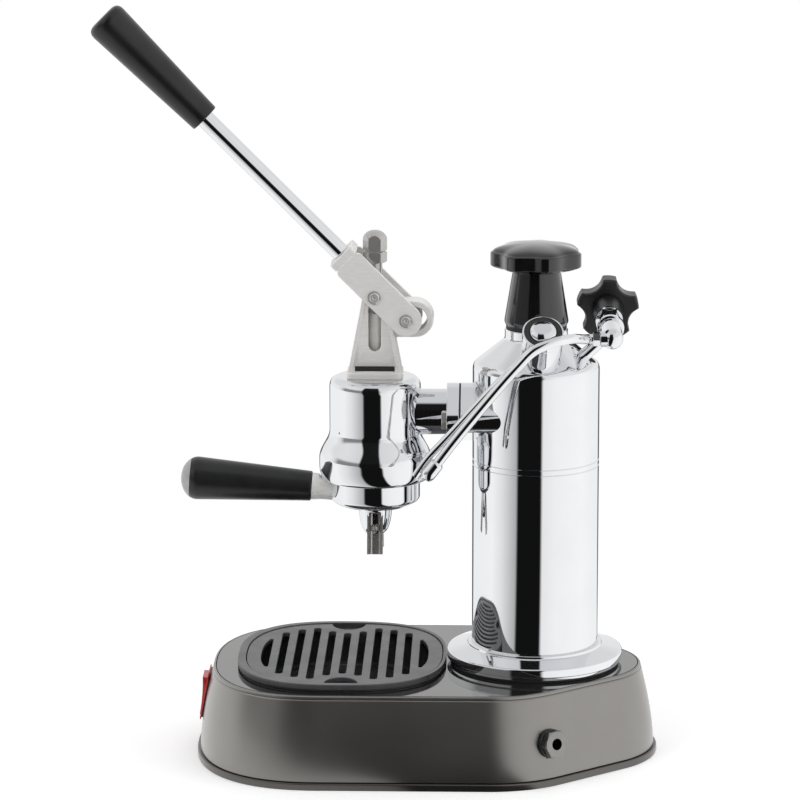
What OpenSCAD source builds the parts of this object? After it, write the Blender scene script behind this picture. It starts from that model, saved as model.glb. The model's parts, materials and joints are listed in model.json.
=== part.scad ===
// Lever espresso machine: base with drip tray, boiler, lever group, steam wand and portafilter.
// X runs from the group towards the boiler, Y away from the viewer, Z up from the standing face.

/* [Fits] */
// Gap between two pieces that are seated on each other
seat = 0.05; // [0.02:0.01:0.1]
// Radial clearance of a running fit
run = 0.05; // [0.02:0.01:0.09]
// Clearance between pieces that pass each other freely
free = 0.4; // [0.3:0.05:0.6]

/* [Base] */
// Height of the deck above the table
deck_z = 57; // [52:1:64]
// Reach of the deck ahead of the origin
deck_front = 134.7; // [131:0.1:140]
// Width of the deck
deck_w = 168; // [166:1:180]
// Length of the rounded front end
front_len = 69.5; // [60:0.5:78]
// Squareness of the rounded front end
front_power = 2.4; // [2.1:0.1:3]
// Place of the rear shoulders along the deck
shoulder_x = 38; // [30:1:44]
// Radius of the rear shoulders
shoulder_r = 60; // [54:1:68]
// Place of the rear nose along the deck
nose_x = 86; // [82:1:92]
// Radius of the rear nose
nose_r = 47.5; // [45:0.5:54]
// Thickness of the pressed sheet
sheet_t = 1.5; // [1:0.1:2]
// How far the skirt flares out below the deck
skirt_flare = 8.9; // [6:0.1:12]
// Bulge of the skirt
skirt_power = 1.6; // [1.2:0.1:2.2]
// Rounding of the deck's edge
deck_edge_r = 2.5; // [1.5:0.1:3.5]
// Height of the trim round the foot
trim_h = 4.5; // [4.2:0.1:6]
// How far the trim stands out past the skirt
trim_lip = 1.9; // [1:0.1:3]
// Shadow gap between trim and skirt
trim_gap = 0.5; // [0.3:0.1:0.9]
// Width of the trim, measured inwards
trim_w = 6; // [5:0.1:8]
// Thickness of the bottom cover
cover_t = 3.5; // [3.2:0.1:4]
// Half spacing of the front posts across the base
post_front_y = 50; // [44:1:54]
// Half spacing of the rear posts across the base
post_rear_y = 28; // [26:1:31]

/* [Switch] */
// Height of the switch's centre
switch_z = 35; // [33:0.5:38]
// Length of the switch housing up the skirt
switch_l = 29.2; // [26:0.2:31]
// Width of the switch housing
switch_w = 21.4; // [18:0.2:26]
// Depth of the switch housing
switch_depth = 18; // [14:0.5:22]
// How far the rocker leans to each side
rocker_lean = 6; // [4:0.5:7]

/* [Cable gland] */
// Height of the gland
gland_z = 26.5; // [23:0.5:28]
// Direction that the gland faces, from +X towards the viewer
gland_side = 55; // [53:1:58]
// Radius of the cable bore
gland_bore_r = 3.6; // [3:0.1:5]
// Radius of the gland's thread
gland_thread_r = 7.5; // [6.5:0.1:8]
// Radius of the gland's ring
gland_ring_r = 9.5; // [9:0.1:11]
// Width of the gland's hexagon across its flats
gland_af = 19; // [17:0.2:20]

/* [Drip tray] */
// Place of the tray's centre along the deck
tray_x = -54; // [-56:0.1:-53.8]
// Length of the tray's rim
tray_l = 131.2; // [129:0.1:131.4]
// Width of the tray's rim
tray_w = 150; // [147:1:154]
// Squareness of the tray's outline
tray_power = 2.6; // [2.4:0.1:3]
// Height of the rim above the deck
tray_rise = 4.7; // [4.4:0.1:6]
// Depth of the basin below the deck
tray_depth = 24; // [18:1:30]
// Wall of the tray
tray_wall = 1.8; // [1.4:0.1:2.4]
// Length of the grille
grille_l = 123.4; // [119:0.2:124.4]
// Width of the grille
grille_w = 140; // [134:1:144]
// Thickness of the grille
grille_t = 3; // [2.4:0.1:3.2]
// Width of the ledge that carries the grille
grille_ledge = 4.5; // [3:0.1:6]
// Number of slots in the grille
slot_count = 11; // [7:2:11]
// Distance from slot to slot
slot_pitch = 9.85; // [9.4:0.05:10]
// Width of a slot
slot_w = 4.6; // [3.6:0.1:5.4]
// Margin between the slots and the grille's edge
slot_margin = 9; // [7:0.5:10]
// Width of a finger notch
notch_w = 21; // [16:0.5:24]
// Depth of a finger notch
notch_d = 14; // [10:0.5:17]

/* [Boiler] */
// Place of the boiler's axis along the deck
boiler_x = 67; // [65:0.5:70]
// Radius of the boiler
boiler_r = 39.5; // [38:0.1:41]
// Wall of the boiler
boiler_wall = 1.6; // [1.2:0.1:2]
// Height from the deck to the boiler's shoulder
boiler_h = 190; // [180:1:200]
// Slope of the boiler's shoulder
cone_angle = 40.5; // [37:0.5:44]
// Length of the shoulder's rounding on each side of its corner
shoulder_soft = 4; // [2:0.2:6]
// Outer radius of the neck
neck_r = 19.6; // [18.8:0.1:20.4]
// Height of the neck
neck_h = 6.8; // [5:0.1:9]
// Bore of the neck
neck_bore_r = 16; // [15:0.1:16.6]
// Drop from the shoulder to the upper joint line
seam_drop = 58; // [50:1:66]
// Depth that the boiler reaches below the deck
boiler_foot = 13; // [12:0.5:16]
// Radius of the foot flange
flange_r = 55; // [52:0.5:58]
// Height of the flange's rim
flange_rim_h = 7.4; // [6:0.1:9]
// Height of the flange's raised cone
flange_cone_h = 5.2; // [4:0.1:8]
// Height of the gasket ring under the flange
flange_gasket_h = 1.6; // [1.2:0.1:3]
// Thickness of the plate that closes the boiler
plate_t = 4; // [3:0.5:6]
// Radius of the heating element's tube
element_r = 4; // [3:0.1:4.5]
// Height of the heating element above its plate
element_h = 95; // [70:1:120]
// Half distance between the legs of one heating loop
element_half = 11; // [9:0.5:13]
// Half distance between the two heating loops
element_y = 15; // [12:0.5:18]

/* [Sight glass] */
// Height of the lower fitting above the deck
sight_low = 36; // [30:1:44]
// Height of the upper fitting above the deck
sight_high = 150; // [130:1:165]
// Distance of the glass from the boiler's wall
sight_out = 16; // [14:0.5:22]
// Outer radius of the glass
sight_r = 6; // [5:0.1:7]
// Bore of the glass
sight_bore_r = 4.4; // [3.4:0.1:4.8]
// Radius of a fitting's body
sight_body_r = 9.5; // [8.5:0.1:11]

/* [Filler cap] */
// Radius of the black cone at its foot
cap_base_r = 20; // [19:0.1:22]
// Radius of the black cone at its top
cap_top_r = 15.6; // [13:0.1:17]
// Height of the black cone
cap_cone_h = 29; // [24:0.5:34]
// Height from the neck to the black cone
cap_gap = 2.4; // [2.2:0.1:4]
// Radius of the cap's star
cap_star_r = 28.7; // [26:0.1:31]
// Lobes of the cap's star
cap_lobes = 7; // [6:1:9]
// Turn of the cap's lobes
cap_turn = 30.9; // [0:0.1:60]
// Depth of the hollows between the lobes
cap_lobe_depth = 1.8; // [1:0.1:3]
// Height of the star's underside
cap_under_h = 6.4; // [4:0.1:8]
// Height of the star's rim
cap_rim_h = 10; // [8:0.5:12]
// Height of the star's dome
cap_dome_h = 5.8; // [4:0.1:8]

/* [Safety valve] */
// Place on the shoulder, as a radius from the boiler's axis
safety_at = 27.5; // [26.5:0.1:28.5]
// Direction on the shoulder, from +X towards the viewer
safety_side = 85; // [80:1:90]
// Radius of the valve
safety_r = 12.7; // [12:0.1:13.2]
// Length of the valve's body
safety_body_l = 20.9; // [20:0.1:23]
// Length of the valve's cap
safety_cap_l = 4.5; // [3.5:0.1:5]
// Height of the cap's dome
safety_dome_h = 5; // [3.5:0.1:6]
// Radius of the relief ball
relief_ball_r = 4.2; // [4:0.1:4.5]
// Radius of the relief seat's bore
relief_seat_r = 3; // [2.4:0.1:3.4]
// Bore of the relief chamber
relief_bore_r = 7.5; // [6.5:0.1:8.5]

/* [Steam valve] */
// Place of the stub on the shoulder, as a radius from the boiler's axis
stub_at = 30.5; // [30:0.1:31]
// Place of the stub on the shoulder, from +X towards the viewer
stub_side = 23; // [22:0.5:24]
// Direction of the stub, from +X towards the viewer
stub_turn = 20; // [19:0.5:21]
// Rise of the stub
stub_rise = 43.5; // [42:0.5:45]
// Radius of the stub
stub_r = 4; // [3.5:0.1:4.2]
// Length of the stub into the valve
stub_l = 23.5; // [23:0.1:24]
// Place of the valve's round end past the stub, to the right
valve_dx = 2.4; // [2:0.1:2.8]
// Place of the valve's round end past the stub, towards the viewer
valve_dy = 12.1; // [11.6:0.1:12.6]
// Place of the valve's round end below the stub's end
valve_dz = 2.7; // [2.2:0.1:3.2]
// Rise of the valve's axis away from the viewer
valve_tilt = 5.7; // [4:0.1:7]
// Turn of the valve's axis about the vertical
valve_yaw = 1.2; // [0:0.1:2]
// Radius of the valve's barrel
valve_r = 6.75; // [6.5:0.05:7]
// Length of the valve's barrel
valve_l = 27; // [26:0.5:29]
// Radius of the valve's collar
collar_r = 8.4; // [8:0.1:9]
// Width of the gland nut across its flats
gland_nut_af = 15; // [14:0.2:16]
// Length of the gland nut's hexagon
gland_nut_l = 14; // [13:0.5:16]
// Radius of the spindle
spindle_r = 3.2; // [2.8:0.1:3.4]
// Radius of the steam knob's star
steam_knob_r = 19.4; // [16:0.1:21]
// Lobes of the steam knob
steam_knob_lobes = 5; // [4:1:7]
// Depth of the hollows between the steam knob's lobes
steam_lobe_depth = 6.6; // [3:0.1:7]
// Thickness of the steam knob's star
steam_knob_t = 14; // [10:0.5:18]
// Length of the steam knob's hub
steam_hub_l = 18; // [14:0.5:20]
// Turn of the steam knob's lobes
steam_knob_turn = -14.6; // [-36:0.1:36]

/* [Steam wand] */
// Place of the outlet along the valve
outlet_at = 5.2; // [5:0.1:5.4]
// Radius of the outlet's boss
outlet_r = 4.6; // [4.2:0.1:5]
// Length of the outlet's boss, from the valve's axis
outlet_l = 7.3; // [7.2:0.1:8]
// Width of the wand's nut across its flats
wand_nut_af = 8; // [7.6:0.1:8.2]
// Length of the wand's nut
wand_nut_l = 4.5; // [4:0.1:6]
// Radius of the wand
wand_r = 3.05; // [2.6:0.05:3.2]
// Reach of the wand from the outlet to its tip, along the machine
wand_reach = 106; // [104:0.5:108]
// Radius of the wand's tip
tip_r = 4.4; // [4.2:0.1:5]
// Length of the wand's tip
tip_l = 13; // [10:0.5:16]
// Radius of the tube fixed beside the wand
side_r = 2.3; // [1.8:0.1:2.5]

/* [Group] */
// Height of the group's neck above the deck
group_rise = 160.4; // [154:0.2:166]
// Distance from the boiler's axis to the group's axis
group_reach = 100; // [97:0.5:106]
// Radius of the group's cylinder
group_r = 28.5; // [27.5:0.1:30]
// Height of the group above its neck
group_above = 22.6; // [21.6:0.1:25]
// Depth of the group below its neck
group_below = 42; // [41:0.1:45]
// Rounding of the group's top
group_top_soft = 5.5; // [4:0.1:7]
// Radius of the bell
bell_r = 35; // [34.6:0.1:37]
// Outer radius of the bell's lower edge
bell_edge_r = 32.4; // [32.2:0.1:33.2]
// Height where the bell has become the cylinder
bell_h = 31; // [28:0.5:34]
// Thickness of the group's top
group_top_t = 6; // [5:0.1:7]
// Radius of the neck's tube
group_neck_r = 14.3; // [13:0.1:16]
// Thickness of the group's flange
group_flange_t = 7.6; // [6:0.1:9]
// Radius of the flange's middle
group_flange_r = 18.1; // [17:0.1:20]
// Radius of the flange's ends
group_ear_r = 8; // [7:0.1:9.5]
// Half distance between the group's bolts
group_bolt_y = 25; // [24:0.5:28]
// Radius of the group's bolts
group_bolt_r = 4; // [3:0.1:4.5]
// Width of the bolts' heads across their flats
group_bolt_af = 10.5; // [10:0.5:12]
// Thickness of the gasket between the flanges
group_gasket_t = 1; // [0.6:0.1:2]
// Thickness of the saddle in front of the boiler
saddle_t = 7.1; // [6:0.1:9]
// Radius of the water passage
passage_r = 5; // [4:0.1:5.4]
// Bend radius of the dip tube
dip_bend = 12; // [10:0.5:14]
// Height of the dip tube's foot above the deck
dip_foot = 33; // [26:1:50]

/* [Piston] */
// Bore of the cylinder sleeve
sleeve_bore_r = 19.25; // [18.8:0.05:19.6]
// Wall of the cylinder sleeve
sleeve_t = 2.3; // [1.8:0.1:2.6]
// Height of the sleeve's foot above the bell's lower edge
sleeve_foot = 11; // [10.6:0.1:11.4]
// Thickness of the portafilter gasket
seal_t = 5; // [4:0.1:5.6]
// Height of the piston head
piston_h = 13; // [11:0.5:14]
// Height of the piston's crown below the group's inner top at rest
piston_rest = 7.5; // [6.8:0.1:8]
// Radius of the piston rod
rod_r = 4; // [3.5:0.1:4.2]
// Radius of the rod bush
bush_r = 6.5; // [6:0.1:7]
// Radius of the block at the rod's end
block_r = 5.5; // [5.2:0.1:5.6]
// Depth of the block below the front pin
block_below = 11.9; // [10:0.1:12]
// Height of the block's shoulder above the front pin
block_above = 8; // [6:0.1:10]
// Height of the lock nut's foot above the front pin
nut_rise = 19.9; // [18:0.1:21]
// Width of the nuts across their flats
nut_af = 13; // [12:0.1:13]
// Height of the lock nut
lock_nut_h = 7.1; // [5:0.1:8]
// Height of the acorn nut
acorn_h = 13.1; // [11:0.1:15]

/* [Lever] */
// Height of the front pin above the group's top
pin_rise = 51.9; // [51:0.1:53]
// Distance along the lever from the rear pin to the front pin
pin_along = 24.2; // [23.8:0.1:24.6]
// Distance of the front pin below the lever's middle line
pin_below = 3.4; // [3:0.1:3.8]
// Slope of the lever as drawn
lever_angle = 45; // [44:0.5:46]
// Radius of the pins
pin_r = 3; // [2.6:0.1:3.2]
// Thickness of the tower
tower_t = 20; // [19:0.5:22]
// Half width of the tower at its foot
tower_foot_half = 17.3; // [16:0.1:18.5]
// Half width of the tower at its top
tower_top_half = 7.7; // [7.5:0.1:9]
// Height of the tower
tower_h = 49.5; // [48.5:0.5:50.5]
// Thickness of the tower's foot
tower_foot_t = 26; // [22:0.5:28]
// Width of the tower's slot
tower_slot_w = 7.9; // [7:0.1:8.4]
// Height of the slot's round foot above the group's top
tower_slot_foot = 17.2; // [16:0.1:17.6]
// Place of the ear's end behind the group's axis
ear_x = 25; // [24.6:0.1:26]
// Radius of the ear's end
ear_r = 11.35; // [11:0.05:12.4]
// Thickness of the ear
ear_t = 16; // [14:0.5:18]
// Half height of the ear's slot
ear_slot_r = 7.35; // [7.3:0.05:7.8]
// Place of the slot's inner end behind the group's axis
ear_slot_x = 5; // [4:0.1:8]
// Radius of the roller in the ear's slot
roller_r = 6.4; // [6:0.05:6.5]
// Thickness of the fork's plates
fork_t = 3; // [2.5:0.1:3.5]
// Width of the fork's plates
fork_w = 19.5; // [19:0.1:20]
// Length of the fork from the rear pin
fork_l = 57; // [56:0.5:60]
// Thickness of the fork's bridge
bridge_t = 5; // [4:0.1:5.6]
// Length of the lever's rod
lever_rod_l = 118; // [100:1:140]
// Radius of the lever's rod
lever_rod_r = 5.7; // [5:0.1:6.4]
// Length of the grip
grip_l = 88; // [76:1:100]
// Radius of the grip at the rod
grip_r = 9.5; // [8:0.1:11]
// Radius of the grip at its far end
grip_end_r = 13; // [11:0.1:15]

/* [Portafilter] */
// Radius of the portafilter's ring
ring_r = 28; // [27.6:0.1:28.3]
// Depth of the ring below the bell
ring_below = 11.5; // [10.5:0.5:14]
// Depth of the rounded bottom below the bell
bowl_below = 18.3; // [17:0.1:21]
// Height of the ring inside the bell
ring_above = 6.7; // [6.4:0.1:6.8]
// Radial reach of the lugs
lug_out = 3; // [2.4:0.1:3.1]
// Angle that a lug covers
lug_angle = 50; // [40:1:54]
// Turn between the locked place and the notches
lock_turn = 50; // [48:1:60]
// Height of the bowl's middle line below the bell, where the handle starts
handle_below = 8.6; // [8.2:0.1:9]
// Rise of the handle
handle_rise = 3.8; // [3.4:0.1:4.4]
// Radius of the ferrule at the ring
ferrule_r = 5.9; // [5.2:0.1:6]
// Radius of the ferrule at the handle
ferrule_end_r = 8.3; // [7.6:0.1:8.8]
// Length of the ferrule
ferrule_l = 12; // [11:0.5:16]
// Radius of the handle at the ferrule
handle_r = 9.3; // [9:0.1:10.4]
// Radius of the handle at its far end
handle_end_r = 13.5; // [12:0.1:15]
// Length of the handle without its end cap
handle_l = 76; // [66:1:88]
// Thickness of the handle's end cap
handle_cap_t = 5.9; // [5:0.1:8]
// Radius of the spout's cup
spout_r = 10.4; // [10:0.1:12]
// Height of the spout's cup
spout_cup_h = 19; // [16:0.5:22]
// Outer width of a spout channel
channel_w = 9.8; // [9:0.1:11]
// Length of a spout channel
channel_l = 27.5; // [25:0.5:29]
// Lean of a spout channel
channel_lean = 14; // [10:1:20]

/* [Hidden] */
$fn = 72;
// Colours, as the object shows them
chrome = [0.86, 0.87, 0.89];
nickel = [0.74, 0.73, 0.71];
brass = [0.78, 0.62, 0.33];
copper = [0.72, 0.45, 0.32];
black = [0.05, 0.05, 0.055];
rubber = [0.12, 0.12, 0.12];
tray_grey = [0.15, 0.15, 0.16];
gunmetal = [0.40, 0.38, 0.36];
signal_red = [0.78, 0.06, 0.05];
// Small sizes of the base: posts, screws, switch and gland
post_r = 4;
screw_r = 2;
screw_head_r = 4;
screw_head_h = 1.8;
screw_l = 11;
switch_wall = 1.3;
switch_frame = 1.2;
switch_frame_h = 0.9;
rocker_pivot = 3.4;
rocker_pin_r = 1.5;
gland_ring_t = 3;
gland_hex_l = 5.5;
gland_thread_l = 12;
tray_foot_h = 1.3;
tray_foot_in = 1.3;
grille_sink = 0.5;
// Small sizes of the boiler and its fittings
seam_step = 3.5;
seam_w = 0.7;
flange_bead = 1.6;
flange_gasket_in = 3;
ring_nut_w = 4.5;
ring_nut_h = 7;
pressure_r = 12;
pressure_h = 22;
pressure_stub_r = 4.5;
sight_stem_r = 4;
sight_body_half = 9;
sight_shield_t = 1.2;
sight_window = 9;
cap_stud_r = 6;
cap_stud_l = 26;
cap_plug_l = 12;
cap_seal_t = 1.2;
relief_wire_r = 0.6;
relief_coil_r = 3.6;
relief_turns = 3.5;
relief_seat_at = 6;
// Small sizes of the steam valve
valve_thread_r = 5.5;
valve_thread_l = 9.5;
gland_nut_t = 4;
seat_disc_at = 10;
seat_disc_t = 3.9;
steam_hub_r = 10.4;
collar_t = 3.5;
// Small sizes of the group and its piston
bell_round_h = 9;
bell_wide_h = 13;
group_bolt_head = 3;
group_bolt_deep = 10;
spigot_t = 1.9;
screen_t = 1;
screen_rim_h = 1.4;
screen_hole_r = 0.9;
bush_head_r = 10;
bush_head_t = 3;
bush_top = 9;
block_neck_r = 4.5;
// Small sizes of the lever
piston_drop = 28.3;
clip_r = 4.15;
clip_t = 0.8;
panel_in = 0.5;
panel_rail = 2.4;
lever_stud_r = 4;
lever_stud_l = 24;
grip_soft = 5;
fork_soft = 3.5;
tower_foot_h = 4;
// Small sizes of the portafilter
ring_wall = 2.3;
ferrule_neck = 6.2;
bowl_t = 3;
lip_h = 2.2;
lug_h = 4;
basket_t = 0.6;
tang_r = 4;
tang_l = 40;
channel_t = 1.1;
channel_d = 6.5;
// Overlap of cutting tools past the faces that they cut
cut = 1;
// Points round a lofted outline and along a rounding
outline_n = 80;
soft_n = 6;
// Base levels and the profile of its skirt, as pairs of outward offset and height
skirt_z0 = trim_h + trim_gap;
edge_z = deck_z - deck_edge_r;
front_x = front_len - deck_front;
skirt_outer_n = 7;
skirt_inner_n = 4;
function skirt_d(z) = skirt_flare * (1 - pow((z - skirt_z0) / (deck_z - skirt_z0), skirt_power));
function skirt_step(k, n) = skirt_z0 + (edge_z - skirt_z0) * k / n;
edge_d = skirt_d(edge_z);
skirt_profile = concat(
  [[edge_d - deck_edge_r, deck_z - sheet_t]],
  [for (k = [skirt_inner_n : -1 : 0]) let (z = skirt_step(k, skirt_inner_n)) [skirt_d(z) - sheet_t, z]],
  [for (k = [0 : skirt_outer_n]) let (z = skirt_step(k, skirt_outer_n)) [skirt_d(z), z]],
  [for (a = [22.5 : 22.5 : 90]) [edge_d - deck_edge_r * (1 - cos(a)), edge_z + deck_edge_r * sin(a)]]);
post_front_x = 19 - deck_front;
post_rear_x = nose_x + 24;
posts = [[post_front_x, post_front_y], [post_front_x, -post_front_y],
  [post_rear_x, post_rear_y], [post_rear_x, -post_rear_y]];
// Switch and gland faces on the skirt
skirt_lean = atan((skirt_d(switch_z - switch_l / 2) - skirt_d(switch_z + switch_l / 2)) / switch_l);
switch_face_x = -deck_front - skirt_d(switch_z);
switch_lift = 0.5;
gland_turn = -gland_side;
gland_lean = atan((skirt_d(gland_z - gland_ring_r) - skirt_d(gland_z + gland_ring_r)) / (2 * gland_ring_r));
gland_at = deck_point(gland_turn) + skirt_d(gland_z) * [cos(gland_turn), sin(gland_turn)];
gland_lift = 0.5;
// Tray and grille
rim_z = deck_z + tray_rise;
grille_z = rim_z - grille_sink - grille_t;
grille_x = tray_x + 1.5;
basin_a = grille_l / 2 - grille_ledge;
basin_b = grille_w / 2 - grille_ledge;
basin_z = deck_z - tray_depth;
tray_seat = 0.1;
// Boiler levels and outline
shoulder_z = deck_z + boiler_h;
cone_slope = tan(cone_angle);
cone_top_z = shoulder_z + (boiler_r - neck_r) * cone_slope;
neck_z = cone_top_z + neck_h;
boiler_foot_z = deck_z - boiler_foot;
flange_z = deck_z + flange_gasket_h;
flange_top_z = flange_z + flange_rim_h + flange_cone_h;
plate_z = boiler_foot_z - plate_t;
function cone_z(r) = shoulder_z + (boiler_r - r) * cone_slope;
soft_start = [boiler_r, shoulder_z - shoulder_soft];
soft_corner = [boiler_r, shoulder_z];
soft_end = soft_corner + shoulder_soft * [-cos(cone_angle), sin(cone_angle)];
function soft_point(u) = (1 - u) * (1 - u) * soft_start + 2 * u * (1 - u) * soft_corner + u * u * soft_end;
shoulder_curve = [for (k = [0 : soft_n]) soft_point(k / soft_n)];
// Steam valve and wand
function on_cone_point(side, r) = [boiler_x + r * cos(side), r * sin(side), cone_z(r)];
function cone_normal(side) = [cos(side) * sin(cone_angle), sin(side) * sin(cone_angle), cos(cone_angle)];
stub_foot = on_cone_point(-stub_side, stub_at);
stub_dir = [cos(stub_turn) * cos(stub_rise), -sin(stub_turn) * cos(stub_rise), sin(stub_rise)];
valve_end = stub_foot + stub_l * stub_dir + [valve_dx, -valve_dy, -valve_dz];
valve_dir = [-sin(valve_yaw) * cos(valve_tilt), cos(valve_yaw) * cos(valve_tilt), sin(valve_tilt)];
outlet = valve_end + outlet_at * valve_dir;
collar_top = valve_l + collar_t;
gland_nut_at = collar_top + free;
gland_nut_end = gland_nut_at + gland_nut_l + gland_nut_t;
knob_at = gland_nut_end + 2 * free;
chamber_r = spindle_r + free;
// The wand's straight end in the outlet, and its route from there, as steps from the valve's axis
wand_in = 3.4;
wand_out = outlet_l + wand_nut_l + 3;
wand_shape = [[-17.4, -7.5, 1.3], [-24.4, -26, 5.3], [-30.4, -35, 6], [-35.9, -39, 5.7], [-48.4, -42, 0.7],
  [-58.4, -43, -9.1], [-70.9, -43, -23.6], [-93.9, -43, -52.1], [-106, -43, -68.2]];
wand_route = concat([outlet + [2 - wand_out, 0, 0], outlet + [-wand_out, 0, 0]],
  [for (p = wand_shape) outlet + wand_reach / 106 * p]);
wand_end = wand_route[len(wand_route) - 1];
wand_end_dir = unit(wand_end - wand_route[len(wand_route) - 2]);
// The thin tube leaves the wand's back and ends beside its tip
side_gap = wand_r + side_r + seat;
side_first = 7;
side_route = concat([for (k = [side_first : 10]) let (j = k - side_first)
  wand_route[k] + [-2 * j, side_gap - 0.1 * j, 0.6 * j]],
  [wand_end + [-0.17 * wand_reach, side_gap - 0.4, -0.061 * wand_reach]]);
// Group levels
group_x = boiler_x - group_reach;
pipe_z = deck_z + group_rise;
group_top_z = pipe_z + group_above;
bell_z = pipe_z - group_below;
ceiling_z = group_top_z - group_top_t;
saddle_x = boiler_x - boiler_r - saddle_t;
group_face_x = saddle_x - group_gasket_t - 2 * seat;
spigot_x = boiler_x - boiler_r + boiler_wall + cut;
sleeve_r = sleeve_bore_r + sleeve_t;
sleeve_foot_z = bell_z + sleeve_foot;
groove_r = ring_r + lug_out + free;
lip_r = ring_r + 0.8;
gasket_z = bell_z + ring_above + 1;
// Piston and lever
piston_top_z = ceiling_z - piston_rest;
piston_foot_z = piston_top_z - piston_h;
piston_r = sleeve_bore_r - 0.35;
pin_z = group_top_z + pin_rise;
lever_dir = [-cos(lever_angle), 0, sin(lever_angle)];
lever_under = [-sin(lever_angle), 0, -cos(lever_angle)];
front_pin = [group_x, 0, pin_z];
rear_pin_at = front_pin - pin_along * lever_dir - pin_below * lever_under;
tower_top_z = group_top_z + tower_h;
ear_z = rear_pin_at.z + 0.2;
fork_y = tower_t / 2 + free;
pin_half = fork_y + fork_t + clip_t + 1.2;
clip_at = fork_y + fork_t + 0.2;
nut_z = pin_z + nut_rise;
acorn_z = nut_z + lock_nut_h + seat;
nut_corner = nut_af / 2 / cos(30);
mouth_z = nut_z - piston_drop - free;
mouth_half = 5.5;
// Portafilter
ring_top_z = bell_z + ring_above;
ring_foot_z = bell_z - ring_below;
bowl_z = bell_z - bowl_below;
ring_bore_r = ring_r - ring_wall;
spout_bore_r = 4.5;
handle_z = bell_z - handle_below;

// Unit vector along v
function unit(v) = v / norm(v);

// Point of a superellipse where its outward normal has angle t
function oval_point(a, b, power, t) =
  let (q = power / (power - 1), u = pow(abs(a * cos(t)), q), v = pow(abs(b * sin(t)), q))
  [a * sign(cos(t)) * pow(u / (u + v), 1 / power), b * sign(sin(t)) * pow(v / (u + v), 1 / power)];

// Outline of a superellipse
function oval(a, b, power) = [for (i = [0 : outline_n - 1]) oval_point(a, b, power, 360 * i / outline_n)];

// Half chord of a superellipse at distance x from its middle
function oval_chord(a, b, power, x) = b * pow(max(0, 1 - pow(min(1, abs(x) / a), power)), 1 / power);

// The candidate that lies farthest along direction n
function farthest(points, n) =
  let (reach = [for (p = points) p * n], best = max(reach))
  [for (i = [0 : len(points) - 1]) if (reach[i] == best) points[i]][0];

// Point of the deck's outline where its outward normal has angle t
function deck_point(t) =
  let (n = [cos(t), sin(t)], side = sin(t) < 0 ? -1 : 1)
  farthest([[front_x, 0] + oval_point(front_len, deck_w / 2, front_power, t),
    [shoulder_x, side * (deck_w / 2 - shoulder_r)] + shoulder_r * n,
    [nose_x, 0] + nose_r * n], n);

// The deck's outline moved outwards by d
function deck_outline(d) =
  [for (i = [0 : outline_n - 1]) let (t = 360 * i / outline_n) deck_point(t) + d * [cos(t), sin(t)]];

// The tight outline round some circles, each given as centre and radius
function belt(circles) = [for (i = [0 : outline_n - 1])
  let (t = 360 * (i + 0.5) / outline_n, n = [cos(t), sin(t)])
  farthest([for (c = circles) c[0] + c[1] * n], n)];

// A ring of points at height z
function ring_at(outline, z) = [for (p = outline) [p.x, p.y, z]];

// Star outline with round lobes: radius r at the lobes, r less depth between them
function star(r, depth, lobes) = [for (i = [0 : outline_n - 1])
  let (t = 360 * i / outline_n, u = r - depth * (1 - cos(lobes * t)) / 2) u * [cos(t), sin(t)]];

// Point u of the way from point i to the next, on a smooth curve through the points
function curve_point(p, i, u) =
  let (a = p[max(i - 1, 0)], b = p[i], c = p[i + 1], d = p[min(i + 2, len(p) - 1)])
  (2 * b + (c - a) * u + (2 * a - 5 * b + 4 * c - d) * u * u + (3 * b - a - 3 * c + d) * u * u * u) / 2;

// A smooth curve through the points
function curve(p, steps) = concat(
  [for (i = [0 : len(p) - 2], k = [0 : steps - 1]) curve_point(p, i, k / steps)], [p[len(p) - 1]]);

// Direction of a path at its point i
function heading(path, i) = unit(path[min(i + 1, len(path) - 1)] - path[max(i - 1, 0)]);

// Solid skinned over rings of equally many points, with flat ends
module loft(rings) {
  n = len(rings[0]);
  m = len(rings);
  sides = [for (k = [0 : m - 2], i = [0 : n - 1])
    let (a = k * n + i, b = k * n + (i + 1) % n) each [[a, a + n, b + n], [a, b + n, b]]];
  foot = [[for (i = [0 : n - 1]) i]];
  top = [[for (i = [n - 1 : -1 : 0]) (m - 1) * n + i]];
  polyhedron(points = [for (r = rings) each r], faces = concat(foot, sides, top));
}

// Round tube of radius r along a path that never runs along the vector across
module tube(path, r, sides, across) {
  loft([for (i = [0 : len(path) - 1])
    let (h = heading(path, i), u = unit(cross(across, h)), v = cross(h, u))
    [for (k = [0 : sides - 1]) path[i] + r * (cos(360 * k / sides) * u + sin(360 * k / sides) * v)]]);
}

// Prism on an outline between two heights
module prism(outline, z0, z1) {
  translate([0, 0, z0])
    linear_extrude(z1 - z0)
      polygon(outline);
}

// Ring or disc between two heights
module band(r0, r1, z0, z1) {
  difference() {
    translate([0, 0, z0])
      cylinder(r = r1, h = z1 - z0);
    if (r0 > 0)
      translate([0, 0, z0 - cut])
        cylinder(r = r0, h = z1 - z0 + 2 * cut);
  }
}

// Round bar between two heights
module bar(r, z0, z1) {
  translate([0, 0, z0])
    cylinder(r = r, h = z1 - z0);
}

// Hexagonal bar, given its width across the flats, between two heights
module hex_bar(af, z0, z1) {
  translate([0, 0, z0])
    cylinder(r = af / 2 / cos(30), h = z1 - z0, $fn = 6);
}

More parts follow.
